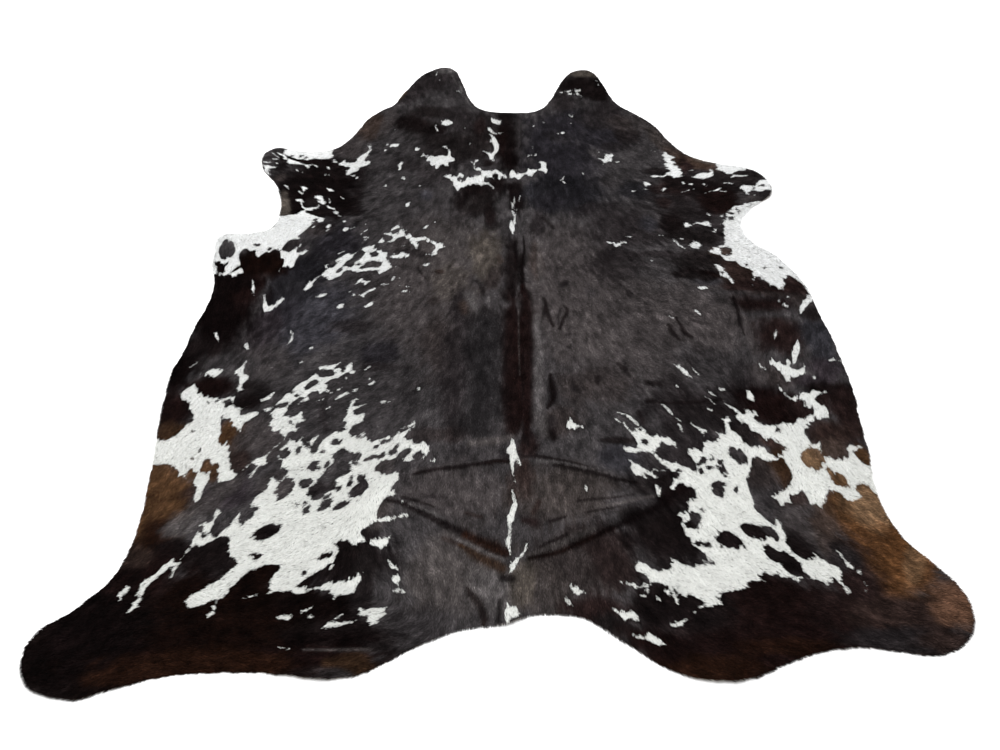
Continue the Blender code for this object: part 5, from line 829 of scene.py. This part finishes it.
def sample(field, points):
    """A plan raster's value at each point, blended between cells."""
    place = (points + PLAN_HALF) / CELL - 0.5
    return blended(field, place[:, 0], place[:, 1])


def segment_reach(x, y, a, b):
    """Distance of each cell to the segment from a to b, how far along, and on which side."""
    span = b - a
    along = ((x - a[0]) * span[0] + (y - a[1]) * span[1]) / max(float(span @ span), TINY)
    along = np.clip(along, 0, 1)
    dx, dy = x - a[0] - along * span[0], y - a[1] - along * span[1]
    return np.hypot(dx, dy), along, span[0] * dy - span[1] * dx


def streak_distance(field, streak):
    """Each cell keeps the least distance to the streak's band: the distance to its middle
    line less half its width there, which runs evenly from one place to the next."""
    middle, half = wide_path(streak)
    for a, b, wa, wb in zip(middle, middle[1:], half, half[1:]):
        margin = max(wa, wb) + MARKING_REACH
        cells, x, y = Plan.window(np.minimum(a, b) - margin, np.maximum(a, b) + margin)
        away, along, _side = segment_reach(x, y, a, b)
        field[cells] = np.minimum(field[cells], away - wa - (wb - wa) * along)


def outline_distance(corners):
    """Signed distance to a closed outline, in a window round it: less than 0 inside, where
    a line to +X crosses the outline an odd number of times."""
    corners = on_coat(corners)
    cells, x, y = Plan.window(corners.min(0) - MARKING_REACH, corners.max(0) + MARKING_REACH)
    away = np.full(x.shape, 1.0)
    inside = np.zeros(x.shape, bool)
    for a, b in zip(corners, np.roll(corners, -1, 0)):
        away = np.minimum(away, segment_reach(x, y, a, b)[0])
        if a[1] != b[1]:
            crossing = a[0] + (y - a[1]) * (b[0] - a[0]) / (b[1] - a[1])
            inside ^= ((a[1] > y) != (b[1] > y)) & (x < crossing)
    return cells, np.where(inside, -away, away)


def oval_distance(spot):
    """Near enough the signed distance to an oval: how far its scaled radius is past 1, times
    its smaller half-width."""
    x, y, rx, ry, turn = spot[0]
    rx, ry = rx * CM, ry * CM
    cells, along, across = Plan.turned_window(on_coat((x, y)), max(rx, ry) + MARKING_REACH, turn)
    return cells, (np.hypot(along / rx, across / ry) - 1) * min(rx, ry)


def blurred(field, size):
    """The raster blurred by a bell of the given size: each of its waves is scaled by the
    exponential of minus twice the square of pi, the size and the wave's own count a metre."""
    fy = np.fft.fftfreq(Plan.rows, CELL)[:, None]
    fx = np.fft.rfftfreq(Plan.cols, CELL)[None]
    bell = np.exp(-2 * (math.pi * size) ** 2 * (fx ** 2 + fy ** 2))
    return np.fft.irfft2(np.fft.rfft2(field) * bell, (Plan.rows, Plan.cols))


def cloud(size, seed):
    """Soft random mottling: blurred white noise, spread 1."""
    noise = np.random.default_rng(seed).standard_normal((Plan.rows, Plan.cols))
    field = blurred(noise, size)
    return field / field.std()


def combed(field, flow, reach, steps=5):
    """The field averaged along the hair, from `reach` behind each cell to `reach` before."""
    places, heading = Plan.everywhere(), flow.reshape(-1, 2)
    total = sum(sample(field, places + heading * reach * k / steps)
                for k in range(-steps, steps + 1))
    total = total.reshape(Plan.rows, Plan.cols)
    return total / total.std()


# ------------------------------------------------------------------ what the rasters hold
def cut_edge():
    """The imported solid's own outline: the border of its upper faces, in order, smoothed."""
    mesh = bmesh.new()
    mesh.from_mesh(bpy.data.objects["hide"].data)
    bmesh.ops.remove_doubles(mesh, verts=mesh.verts, dist=0.01 * MM)
    mesh.normal_update()
    upper = {face for face in mesh.faces if face.normal.z > 0.5}
    follows = {}
    for face in upper:
        for loop in face.loops:
            if sum(other in upper for other in loop.edge.link_faces) == 1:
                follows[loop.vert] = loop.link_loop_next.vert
    vert = first = next(iter(follows))
    ring = []
    while True:
        ring.append(vert.co.xy[:])
        vert = follows[vert]
        if vert is first:
            break
    mesh.free()
    return smooth_curve(np.array(ring), closed=True)


def edge_raster(edge, ragged):
    """Signed distance to the cut edge, less than 0 on the rug, held at `EDGE_REACH`, and made
    a little ragged as a knife and hair leave it."""
    field, inside = Plan.filled(EDGE_REACH), Plan.filled(False, bool)
    for a, b in zip(edge, np.roll(edge, -1, 0)):
        cells, x, y = Plan.window(np.minimum(a, b) - EDGE_REACH, np.maximum(a, b) + EDGE_REACH)
        field[cells] = np.minimum(field[cells], segment_reach(x, y, a, b)[0])
        rows = slice(*sorted(np.searchsorted(Plan.y, (a[1], b[1]))))
        if rows.start < rows.stop:
            crossing = a[0] + (Plan.y[rows] - a[1]) * (b[0] - a[0]) / (b[1] - a[1])
            inside[rows] ^= Plan.x[None] < crossing[:, None]
    return np.where(inside, -field, field) + ragged * EDGE_RAGGED


def raise_curls(height):
    """A half cosine of height round each place where the cut edge curls."""
    for tall, reach, x, y in (row[0] for row in entries(CURLS)):
        cells, along, across = Plan.turned_window(on_floor((x, y)), reach * CM)
        curl = tall * CM * half_cosine(np.hypot(along, across) / (reach * CM))
        height[cells] = np.maximum(height[cells], curl)


def raise_folds(height):
    """A half cosine of height across each fold, wider on one side than on the other, which
    comes up over the first of the fold's run and dies away over the last of it."""
    for entry in FOLDS.split("/"):
        sizes, *crest = rows_of(entry)
        tall, left, right = (size * CM for size in sizes)
        path = smooth_curve(on_floor(crest), closed=False, per_span=10)
        run = np.concatenate([[0], np.cumsum(np.hypot(*np.diff(path, axis=0).T))])
        wide = max(left, right)
        cells, x, y = Plan.window(path.min(0) - wide, path.max(0) + wide)
        nearest = np.full(x.shape, np.inf)
        offset, along = np.zeros(x.shape), np.zeros(x.shape)
        for k, (a, b) in enumerate(zip(path, path[1:])):
            away, share, side = segment_reach(x, y, a, b)
            near = away < nearest
            nearest = np.where(near, away, nearest)
            offset = np.where(near, np.where(side >= 0, away, -away), offset)
            along = np.where(near, (run[k] + share * (run[k + 1] - run[k])) / run[-1], along)
        across = half_cosine(np.abs(offset) / np.where(offset >= 0, left, right))
        fade = smoothstep(np.clip(along / FOLD_RISE, 0, 1) * np.clip((1 - along) / FOLD_FADE, 0, 1))
        height[cells] = np.maximum(height[cells], tall * across * fade)


def lift_raster():
    """How far the skin stands off the floor: its curls and folds, as in the solid, with a
    gentle unevenness of its own."""
    height = Plan.filled(0.0)
    raise_curls(height)
    raise_folds(height)
    return height + UNEVEN * np.clip(cloud(35 * MM, seed=41) + 1, 0, 2.4)


def flow_raster():
    """Which way the hair lies: the chart's headings, each weighed by the fourth power of its
    nearness, on a coarse grid that is then blended to the cells."""
    guides = np.array([row[0] for row in entries(HAIR_FLOW)])
    places, heading = on_floor(guides[:, :2]), np.radians(guides[:, 2])
    x, y = np.meshgrid(Plan.x[::FLOW_STEP], Plan.y[::FLOW_STEP])
    away = np.hypot(x[..., None] - places[:, 0], y[..., None] - places[:, 1])
    weight = 1 / (away ** 4 + FLOW_NEAR ** 4)
    coarse = np.stack([(weight * np.cos(heading)).sum(-1), (weight * np.sin(heading)).sum(-1)], -1)
    column, row = np.meshgrid(np.arange(Plan.cols) / FLOW_STEP, np.arange(Plan.rows) / FLOW_STEP)
    return unit(blended(unit(coarse), column, row))


def marking_raster():
    """Signed distance to the white hair, less than 0 in it, held at `MARKING_REACH`: the
    least over patches and streaks, with the islands and spots then cut out, the spots a
    little larger, as white locks lean over them."""
    field = Plan.filled(MARKING_REACH)
    for area in MARKINGS.values():
        for corners in entries(area.get("patches", "")):
            cells, away = outline_distance(corners)
            field[cells] = np.minimum(field[cells], away)
        for streak in entries(area.get("streaks", "")):
            streak_distance(field, streak)
    for area in MARKINGS.values():
        for spot in entries(area.get("spots", "")):
            cells, away = oval_distance(spot)
            field[cells] = np.maximum(field[cells], SPOT_GROWTH - away)
        for corners in entries(area.get("islands", "")):
            cells, away = outline_distance(corners)
            field[cells] = np.maximum(field[cells], -away)
    return field


def frayed_marking(flow, wisps):
    """The markings with hair-drawn rims: the distance is shifted by wisps that run along the
    hair, over seven times as far where the rim lies across the hair as where it runs along
    it, so white and dark locks reach past each other in spikes. Thin streaks are spared,
    where the share of white around is far from a half, and so are small shapes, where the
    mean distance to a rim is short. The dark grows a little, and more to the neck, where the
    slant view lets the white locks hide more of it."""
    field = marking_raster()
    slope = unit(np.stack(np.gradient(field)[::-1], -1))
    facing = (slope * flow).sum(-1) ** 2
    around = 7 * MM
    share, room = blurred(field < 0, around), blurred(np.abs(field), around)
    free = (1 - 0.8 * np.abs(2 * share - 1)) * np.clip((room - 1.0 * MM) / (3.2 * MM), 0.35, 1)
    tail, neck = DARK_GROWTH
    grown = tail + (neck - tail) * smoothstep((Plan.y - GROWTH_FROM) / GROWTH_RUN)[:, None]
    shift = grown + (WISPS_ALONG + WISPS_MORE_ACROSS * facing) * free * wisps
    return field + shift * MM + RIM_RAGGED * cloud(3 * MM, seed=47)


def lay_tone_and_sheen_zones(colour, frayed):
    """Each zone, of the hair's own tone or of painted sheen, laid over those before it, by its
    strength times the exponential of minus the sixth power of its scaled radius, which the
    mottling frays."""
    for zone in ";".join(TONE_AND_SHEEN_ZONES.values()).split(";"):
        *numbers, tone = zone.strip().split(",")
        numbers += (1, 0)[len(numbers) - 4:]
        x, y, rx, ry, strength, turn = (float(n) for n in numbers)
        rx, ry = rx * CM, ry * CM
        cells, along, across = Plan.turned_window(on_coat((x, y)), ZONE_REACH * max(rx, ry), turn)
        radius = np.hypot(along / rx, across / ry) * frayed[cells]
        share = (strength * np.exp(-radius ** 6))[..., None]
        colour[cells] += (linear(tone) - colour[cells]) * share


def lay_crease_shade_and_nap(colour, frayed):
    """Each band of painted crease shade, painted highlight and nap tone laid over the zones, by its
    strength times the exponential of minus seven tenths of the cube of the distance to its path,
    in half-widths, frayed alike."""
    for entry in "/".join(CREASE_SHADE_AND_NAP.values()).split("/"):
        tone, strength, places = entry.split(maxsplit=2)
        rows = rows_of(places)
        middle, half = wide_path(smooth_curve(rows, False, 5) if len(rows) > 1 else rows)
        margin = CREASE_SHADE_REACH * half.max()
        cells, x, y = Plan.window(middle.min(0) - margin, middle.max(0) + margin)
        ratio = np.full(x.shape, np.inf)
        for a, b, wa, wb in zip(middle, middle[1:], half, half[1:]):
            away, along, _side = segment_reach(x, y, a, b)
            ratio = np.minimum(ratio, away / np.maximum(wa + (wb - wa) * along, 1 * MM))
        share = (float(strength) * np.exp(-0.7 * (ratio * frayed[cells]) ** 3))[..., None]
        colour[cells] += (linear(tone) - colour[cells]) * share


def coat_tone_and_painted_light_raster(wisps, mottle):
    """The dark coat's colour with painted light in it: the tone and sheen zones, then the painted
    shade and highlights along the creases, with the nap's tones.
    """
    colour = np.zeros((Plan.rows, Plan.cols, 3))
    frayed = np.clip(1 + 0.12 * mottle + 0.08 * wisps, 0.8, 1.25)
    lay_tone_and_sheen_zones(colour, frayed)
    lay_crease_shade_and_nap(colour, frayed)
    return colour


def chart_plan():
    """All that the charts say, as rasters."""
    flow = flow_raster()
    fine = combed(cloud(1.6 * MM, seed=43), flow, 9 * MM)
    wisps = 0.7 * fine + 0.7 * combed(cloud(4 * MM, seed=44), flow, 14 * MM)
    mottle = cloud(16 * MM, seed=45)
    brightness = np.exp(0.10 * mottle + 0.20 * combed(cloud(4 * MM, seed=48), flow, 9 * MM)
                        + 0.06 * wisps)
    warm = smoothstep(0.1 - 1.2 * np.meshgrid(Plan.x, Plan.y)[1])[..., None]
    return {
        "flow": flow,
        "wisps": wisps,
        "tufts": cloud(9 * MM, seed=42),
        "edge": edge_raster(cut_edge(), cloud(6 * MM, seed=46)),
        "lift": lift_raster(),
        "white": frayed_marking(flow, fine),
        # the dark coat's tone, with its painted sheen, painted crease shade and painted highlights
        "tone": coat_tone_and_painted_light_raster(wisps, mottle) * brightness[..., None],
        "pale": linear("cool white") * (1 - warm) + linear("white") * warm,
    }


# ------------------------------------------------------------------ meshes
def mesh_from_triangles(name, points, corners, smooth=True):
    """A mesh object at the origin from arrays of points and of triangles' corners."""
    mesh = bpy.data.meshes.new(name)
    mesh.vertices.add(len(points))
    mesh.vertices.foreach_set("co", np.ascontiguousarray(points, np.float32).ravel())
    mesh.loops.add(corners.size)
    mesh.loops.foreach_set("vertex_index", np.ascontiguousarray(corners, np.int32).ravel())
    mesh.polygons.add(len(corners))
    mesh.polygons.foreach_set("loop_start", np.arange(0, corners.size, 3, dtype=np.int32))
    mesh.polygons.foreach_set("use_smooth", np.full(len(corners), smooth))
    mesh.update(calc_edges=True)
    piece = bpy.data.objects.new(name, mesh)
    bpy.context.scene.collection.objects.link(piece)
    return piece


def give_colour(mesh, name, colours):
    """One colour a point, as a named attribute that a material reads."""
    opaque = np.column_stack([colours, np.ones(len(colours))])
    layer = mesh.attributes.new(name, "FLOAT_COLOR", "POINT")
    layer.data.foreach_set("color", np.ascontiguousarray(opaque, np.float32).ravel())


def give_value(mesh, name, values):
    """One number a point, as a named attribute that a material reads."""
    layer = mesh.attributes.new(name, "FLOAT", "POINT")
    layer.data.foreach_set("value", np.ascontiguousarray(values, np.float32))


def give_uv(mesh, name, places):
    """One place in a flat pattern a face corner."""
    layer = mesh.uv_layers.new(name=name)
    layer.uv.foreach_set("vector", np.ascontiguousarray(places, np.float32).ravel())


def twice_area(points, a, b, c):
    """Twice the signed area of each triangle with the given corners."""
    u, v = points[b] - points[a], points[c] - points[a]
    return u[:, 0] * v[:, 1] - u[:, 1] * v[:, 0]


def skin_lattice(edge):
    """Plan points and triangles of the skin: a square lattice, with the cells wholly inside
    the edge kept, its border points moved straight out to a line just inside the edge, and
    each cell cut along the diagonal whose smaller triangle is the larger."""
    nx, ny = (int(n) for n in np.ceil(2 * PLAN_HALF / SKIN_PITCH))
    x, y = np.meshgrid(np.arange(nx) * SKIN_PITCH - PLAN_HALF[0],
                       np.arange(ny) * SKIN_PITCH - PLAN_HALF[1])
    points = np.column_stack([x.ravel(), y.ravel()])
    held = (sample(edge, points) < -SKIN_CLEAR).reshape(ny, nx)
    node = np.arange(nx * ny).reshape(ny, nx)
    whole = held[:-1, :-1] & held[1:, :-1] & held[:-1, 1:] & held[1:, 1:]
    quads = np.stack([node[:-1, :-1], node[:-1, 1:], node[1:, 1:], node[1:, :-1]], -1)[whole]

    sides = np.concatenate([quads[:, [k, (k + 1) % 4]] for k in range(4)])
    there = sides[:, 0] * (nx * ny) + sides[:, 1]
    back = sides[:, 1] * (nx * ny) + sides[:, 0]
    rim = sides[~np.isin(there, back)]
    border = np.unique(rim)
    for _turn in range(SETTLE_TURNS):
        at = points[border]
        outward = unit(np.stack([sample(edge, at + (CELL, 0)) - sample(edge, at - (CELL, 0)),
                                 sample(edge, at + (0, CELL)) - sample(edge, at - (0, CELL))], -1))
        points[border] = at - outward * (sample(edge, at) + SKIN_INSET)[:, None] * SETTLE_SHARE

    a, b, c, d = quads.T
    one_way = np.minimum(twice_area(points, a, b, c), twice_area(points, a, c, d))
    other_way = np.minimum(twice_area(points, a, b, d), twice_area(points, b, c, d))
    first = (one_way >= other_way)[:, None]
    triangles = np.concatenate([
        np.where(first, np.stack([a, b, c], -1), np.stack([a, b, d], -1)),
        np.where(first, np.stack([a, c, d], -1), np.stack([b, c, d], -1))])

    used = np.unique(triangles)
    renumber = np.zeros(nx * ny, int)
    renumber[used] = np.arange(len(used))
    return points[used], renumber[triangles], renumber[rim]


def skin_height(plan, places):
    """Top of the skin: the lift and the skin's thickness, which thins away by a smooth step
    from `EDGE_ROUND` inside the cut edge to as far past it."""
    past = smoothstep((sample(plan["edge"], places) + EDGE_ROUND) / (2 * EDGE_ROUND))
    return sample(plan["lift"], places) + SKIN_THICKNESS * (1 - past)


def make_skin(plan):
    """The hide itself: hair side above, suede below, and the cut edge between them."""
    flat, triangles, rim = skin_lattice(plan["edge"])
    count = len(flat)
    under = np.column_stack([flat, sample(plan["lift"], flat)])
    top = np.maximum(skin_height(plan, flat), under[:, 2] + RIM_THICKNESS)
    a, b = rim.T
    rims = np.concatenate([np.stack([b, a, a + count], -1),
                           np.stack([b, a + count, b + count], -1)])
    corners = np.concatenate([triangles, triangles[:, ::-1] + count, rims])
    skin = mesh_from_triangles("hide_skin", np.vstack([np.column_stack([flat, top]), under]),
                               corners)

    low = flat.min(0)
    above = (flat - low) / BAKE_SPAN + BAKE_MARGIN
    below = (flat - low) * BAKE_UNDER_SCALE + BAKE_UNDER
    rolled = above + unit(flat - flat.mean(0)) * BAKE_RIM
    upper, lower = len(triangles), 2 * len(triangles)
    places = np.vstack([above, below])[corners]
    places[lower:] = np.vstack([above, rolled])[rims]
    give_uv(skin.data, "OFBake", places)

    slots = np.zeros(len(corners), np.int32)
    slots[upper:lower], slots[lower:] = 2, 1
    for finish in (hair_finish("skin hair"), cut_edge_finish(), suede_finish()):
        skin.data.materials.append(finish)
    skin.data.polygons.foreach_set("material_index", slots)
    both = np.vstack([flat, flat])
    # the skin's colour under the locks, darkened by painted shade
    give_colour(skin.data, "hair_colour", sample(plan["tone"], both) * SKIN_SHADE)
    give_value(skin.data, "white_field", sample(plan["white"], both))
    return skin


def hair_roots(plan, seed):
    """Where the locks grow: a square lattice with each root shaken within its own cell, all
    kept by the markings' rims and a share of them elsewhere."""
    rng = np.random.default_rng(seed)
    step = CM / math.sqrt(LOCKS_PER_CM2)
    x, y = np.meshgrid(np.arange(-PLAN_HALF[0], PLAN_HALF[0], step),
                       np.arange(-PLAN_HALF[1], PLAN_HALF[1], step))
    roots = np.column_stack([x.ravel(), y.ravel()]) + rng.uniform(0, step, (x.size, 2))
    roots = roots[sample(plan["edge"], roots) < -ROOT_INSET]
    by_rim = np.abs(sample(plan["white"], roots)) < RIM_BAND
    return roots[by_rim | (rng.random(len(roots)) < LOCKS_KEPT)]


def lay_locks(plan, roots, rng):
    """The three corners of each lock, and the place that its bare part covers. A lock is one
    thin pointed triangle along the flow: its broad end is sunk in the skin, and its tip lies
    over the roots of the next locks, at a height that differs by up to a fifth. Past the cut
    edge a lock is cut short, and its tip lies lower. By the markings' rims the locks are a
    third shorter and a fifth finer."""
    n = len(roots)
    flow = sample(plan["flow"], roots)
    heading = (np.arctan2(flow[:, 1], flow[:, 0]) + LEAN * rng.standard_normal(n)
               + TUFT_LEAN * sample(plan["tufts"], roots))
    along = np.column_stack([np.cos(heading), np.sin(heading)])
    across = np.column_stack([-along[:, 1], along[:, 0]])
    from_rim = np.abs(sample(plan["white"], roots))
    trim = RIM_TRIM + (1 - RIM_TRIM) * smoothstep((from_rim - 3 * MM) / (4 * MM))
    length = rng.uniform(*LOCK_LENGTH, n) * trim
    width = rng.uniform(*LOCK_WIDTH, n) * (0.4 + 0.6 * trim)
    roll = ROLL * rng.standard_normal(n)
    past = sample(plan["edge"], roots + along * length[:, None])
    length *= np.clip(1 - (past - OVERHANG) / length, 0.35, 1)
    bend = BEND * rng.standard_normal(n)

    tip = roots + along * length[:, None] + across * bend[:, None]
    side = across * (0.5 * width * np.cos(roll))[:, None]
    tilt = 0.5 * width * np.sin(roll)
    droop = 1 - 0.8 * smoothstep(sample(plan["edge"], tip) / (9 * MM))
    base = skin_height(plan, roots)
    tip_height = skin_height(plan, tip) + TIP_HEIGHT * rng.uniform(0.8, 1.2, n) * droop
    heights = np.maximum(np.stack([base + tilt, base - tilt, tip_height], 1), 0.3 * MM)
    places = np.stack([roots + side, roots - side, tip], 1)
    shown = roots + along * (BARE_MIDDLE * length)[:, None]
    return np.concatenate([places, heights[..., None]], -1), shown


def lock_colours(plan, shown, rng):
    """Each lock's colour at its three corners. It is that of the place that its bare part
    covers, so the markings stay where the chart has them, a little mixed at their rims, and
    some locks in the white are dark ones. A lock is darker at its root than at its tip: painted
    shade, where the locks over it shade its root."""
    n = len(shown)
    rim = sample(plan["white"], shown)
    white = rim + RIM_MIXING * rng.standard_normal(n) < 0
    wisps = sample(plan["wisps"], shown)
    roan = ROAN + ROAN_AT_RIM * np.exp(-np.abs(rim) / RIM_BAND) * np.clip(1 + wisps, 0, 4)
    strewn = white & (rng.random(n) < roan)
    dark = sample(plan["tone"], shown)
    dark *= np.exp(DARK_SPREAD * rng.standard_normal(n) + DARK_WISPS * wisps)[:, None]
    pale = sample(plan["pale"], shown)
    pale *= np.exp(-PALE_SPREAD * np.abs(rng.standard_normal(n)) + PALE_WISPS * wisps)[:, None]
    colour = np.where(white[:, None], pale, dark)
    colour[strewn] *= rng.uniform(*ROAN_SHADE, n)[strewn, None]
    # painted shade at each lock's roots, a little painted light at its tip
    shade = np.where(white[:, None], PALE_ROOT_SHADE, DARK_ROOT_SHADE)
    return np.clip(colour[:, None, :] * shade[..., None], DARKEST, PALEST)


def make_hair(name, plan, roots, seed):
    """One strip of the coat: its locks, their colours, and each lock's own place in the
    pattern of fine strands."""
    rng = np.random.default_rng(seed)
    if len(roots) > LOCKS_PER_STRIP:
        roots = roots[np.sort(rng.permutation(len(roots))[:LOCKS_PER_STRIP])]
    points, shown = lay_locks(plan, roots, rng)
    corners = np.arange(3 * len(roots)).reshape(-1, 3)
    strip = mesh_from_triangles(name, points.reshape(-1, 3), corners, smooth=False)
    give_colour(strip.data, "hair_colour", lock_colours(plan, shown, rng).reshape(-1, 3))
    flat = points[..., :2]
    low, high = flat.min((0, 1)), flat.max((0, 1))
    share = 1 - 2 * BAKE_STRIP_MARGIN
    give_uv(strip.data, "OFBake", (flat - low) / (high - low) * share + BAKE_STRIP_MARGIN)
    give_uv(strip.data, "strands", rng.uniform(0, 50, (len(roots), 1, 2)) + LOCK_CORNERS)
    strip.data.materials.append(hair_finish("lock hair"))
    return strip


# ------------------------------------------------------------------ finishes
class Finish:
    """A new finish: its shader, and short ways to add the nodes that feed it."""

    def __init__(self, name):
        self.material = bpy.data.materials.new(name)
        self.material.use_nodes = True
        self.tree = self.material.node_tree
        self.shader = self.tree.nodes["Principled BSDF"]

    def feed(self, node, inputs):
        """Each of the node's named sockets takes a value, or a link from another node."""
        for socket, value in inputs.items():
            if isinstance(value, bpy.types.NodeSocket):
                self.tree.links.new(value, node.inputs[socket])
            else:
                node.inputs[socket].default_value = value

    def add(self, kind, inputs=None, **settings):
        """A node of the given kind with its settings and inputs; what it gives out."""
        node = self.tree.nodes.new(kind)
        for setting, value in settings.items():
            setattr(node, setting, value)
        self.feed(node, inputs or {})
        return node.outputs

    def noise(self, place, scale, detail=2.0):
        """Soft noise, from 0 to 1."""
        return self.add("ShaderNodeTexNoise",
                        {"Vector": place, "Scale": scale, "Detail": detail})["Fac"]

    def stretched(self, source, start, end, low, high):
        """The source's run from `start` to `end`, made to run from `low` to `high`."""
        return self.add("ShaderNodeMapRange", {
            "Value": source, "From Min": start, "From Max": end, "To Min": low, "To Max": high})[0]

    def mixed(self, factor, one, other, blend="MIX"):
        """Two colours blended by a factor: a Mix node's colours are its sockets 6, 7 and 2."""
        return self.add("ShaderNodeMix", {"Factor": factor, 6: one, 7: other},
                        data_type="RGBA", blend_type=blend)[2]

    def between(self, source, shades, places=(0, 1)):
        """A colour that runs from one shade to the other between two values of the source."""
        node = self.tree.nodes.new("ShaderNodeValToRGB")
        self.feed(node, {"Fac": source})
        for stop, place, shade in zip(node.color_ramp.elements, places, shades):
            stop.position, stop.color = place, (*shade, 1)
        return node.outputs["Color"]

    def relief(self, height, strength, distance):
        """A bumpy surface."""
        return self.add("ShaderNodeBump",
                        {"Height": height, "Strength": strength, "Distance": distance})[0]


def hair_finish(name):
    """Short cattle hair: its colour from the lock or the skin, with fine strands along it in
    colour and relief, and a soft gloss that varies from strand to strand."""
    hair = Finish(name)
    colour = hair.add("ShaderNodeAttribute", attribute_name="hair_colour")["Color"]
    if name == "lock hair":
        place, scale = hair.add("ShaderNodeUVMap", uv_map="strands")["UV"], (9, 1.6, 1)
    else:
        place, scale = hair.add("ShaderNodeTexCoord")["Object"], (900, 160, 300)
        field = hair.add("ShaderNodeAttribute", attribute_name="white_field")["Fac"]
        white = hair.stretched(field, -0.6 * MM, 0.6 * MM, 1.0, 0.0)
        # the white under the locks, with the same painted shade
        colour = hair.mixed(white, colour, (*linear("white") * SKIN_SHADE, 1))
    comb = hair.add("ShaderNodeMapping", {"Vector": place, "Scale": scale})[0]
    strands = hair.noise(comb, scale=1.0)
    streaks = hair.stretched(strands, 0.3, 0.7, 0.72, 1.2)
    hair.feed(hair.shader, {
        "Base Color": hair.mixed(1.0, colour, streaks, blend="MULTIPLY"),
        "Roughness": hair.stretched(strands, 0.3, 0.7, 0.42, 0.62),
        "Normal": hair.relief(strands, strength=0.5, distance=0.2 * MM),
        "Specular IOR Level": 0.01})
    return hair.material


def leather_finish(name, shades, grain, roughness):
    """Bare skin: two shades mottled by noise, with a fine nap in relief."""
    leather = Finish(name)
    place = leather.add("ShaderNodeTexCoord")["Object"]
    mottle = leather.noise(place, scale=14, detail=6)
    nap = leather.noise(place, scale=grain, detail=4)
    leather.feed(leather.shader, {
        "Base Color": leather.between(mottle, shades, places=(0.35, 0.68)),
        "Roughness": leather.stretched(nap, 0, 1, roughness - 0.1, 0.98),
        "Normal": leather.relief(nap, strength=0.4, distance=0.4 * MM),
        "Specular IOR Level": 0.2})
    return leather.material


def cut_edge_finish():
    """The knife-cut edge of the tanned skin."""
    return leather_finish("cut edge", ((0.20, 0.14, 0.10), (0.42, 0.32, 0.24)),
                          grain=900, roughness=0.75)


def suede_finish():
    """The underside: pale buffed suede."""
    return leather_finish("suede underside", ((0.47, 0.39, 0.30), (0.60, 0.52, 0.42)),
                          grain=1400, roughness=0.85)


def floor_finish():
    """A plain pale floor, with a faint unevenness."""
    floor = Finish("pale floor")
    cast = floor.noise(floor.add("ShaderNodeTexCoord")["Object"], scale=3)
    floor.feed(floor.shader, {
        "Base Color": floor.between(cast, ((0.88, 0.88, 0.88), (0.90, 0.90, 0.90))),
        "Roughness": 0.9,
        "Specular IOR Level": 0.1})
    return floor.material


# ------------------------------------------------------------------ floor, light and camera
def lay_floor():
    """A wide square of floor under the rug."""
    corners = FLOOR_HALF * np.array([(-1, -1, 0), (1, -1, 0), (1, 1, 0), (-1, 1, 0)], float)
    floor = mesh_from_triangles("floor", corners, np.array([(0, 1, 2), (0, 2, 3)]), smooth=False)
    floor.data.materials.append(floor_finish())


def light_studio():
    """Soft even light: a pale surround, and a large soft lamp above."""
    world = bpy.data.worlds.new("studio")
    world.use_nodes = True
    surround = world.node_tree.nodes["Background"]
    surround.inputs["Color"].default_value = (1.0, 1.0, 1.0, 1)
    surround.inputs["Strength"].default_value = SURROUND
    bpy.context.scene.world = world
    lamp = bpy.data.lights.new("soft box", "AREA")
    lamp.shape, lamp.size, lamp.energy = "SQUARE", LAMP_SIZE, LAMP_POWER
    box = bpy.data.objects.new("soft box", lamp)
    box.location = LAMP_PLACE
    box.rotation_euler = (*np.radians(LAMP_TILT), 0)
    bpy.context.scene.collection.objects.link(box)
    bpy.context.scene.view_settings.view_transform = "Standard"


def set_camera():
    """The photograph's own view, from the tail end."""
    lens = bpy.data.cameras.new("camera")
    lens.sensor_width, lens.lens = PICTURE_WIDTH, LENS
    lens.clip_end = 2 * FLOOR_HALF
    camera = bpy.data.objects.new("camera", lens)
    camera.location = CAMERA
    camera.rotation_euler = (math.radians(90 - CAMERA_PITCH), 0, 0)
    bpy.context.scene.collection.objects.link(camera)
    bpy.context.scene.camera = camera


def main():
    """The part dressed: its skin, its coat in four strips, then the floor, light and camera."""
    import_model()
    plan = chart_plan()
    skin = make_skin(plan)
    roots = hair_roots(plan, seed=51)
    borders = (np.array(STRIP_BORDERS) - CHART_MIDDLE[0]) * CM
    strips = []
    for k, (low, high) in enumerate(zip(borders, borders[1:])):
        here = roots[(roots[:, 0] >= low) & (roots[:, 0] < high)]
        strips.append(make_hair(f"hair_strip_{k + 1}", plan, here, seed=60 + k))
    for piece in (skin, *strips):
        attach(piece, "root")
        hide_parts("hide")
    lay_floor()
    light_studio()
    set_camera()


main()
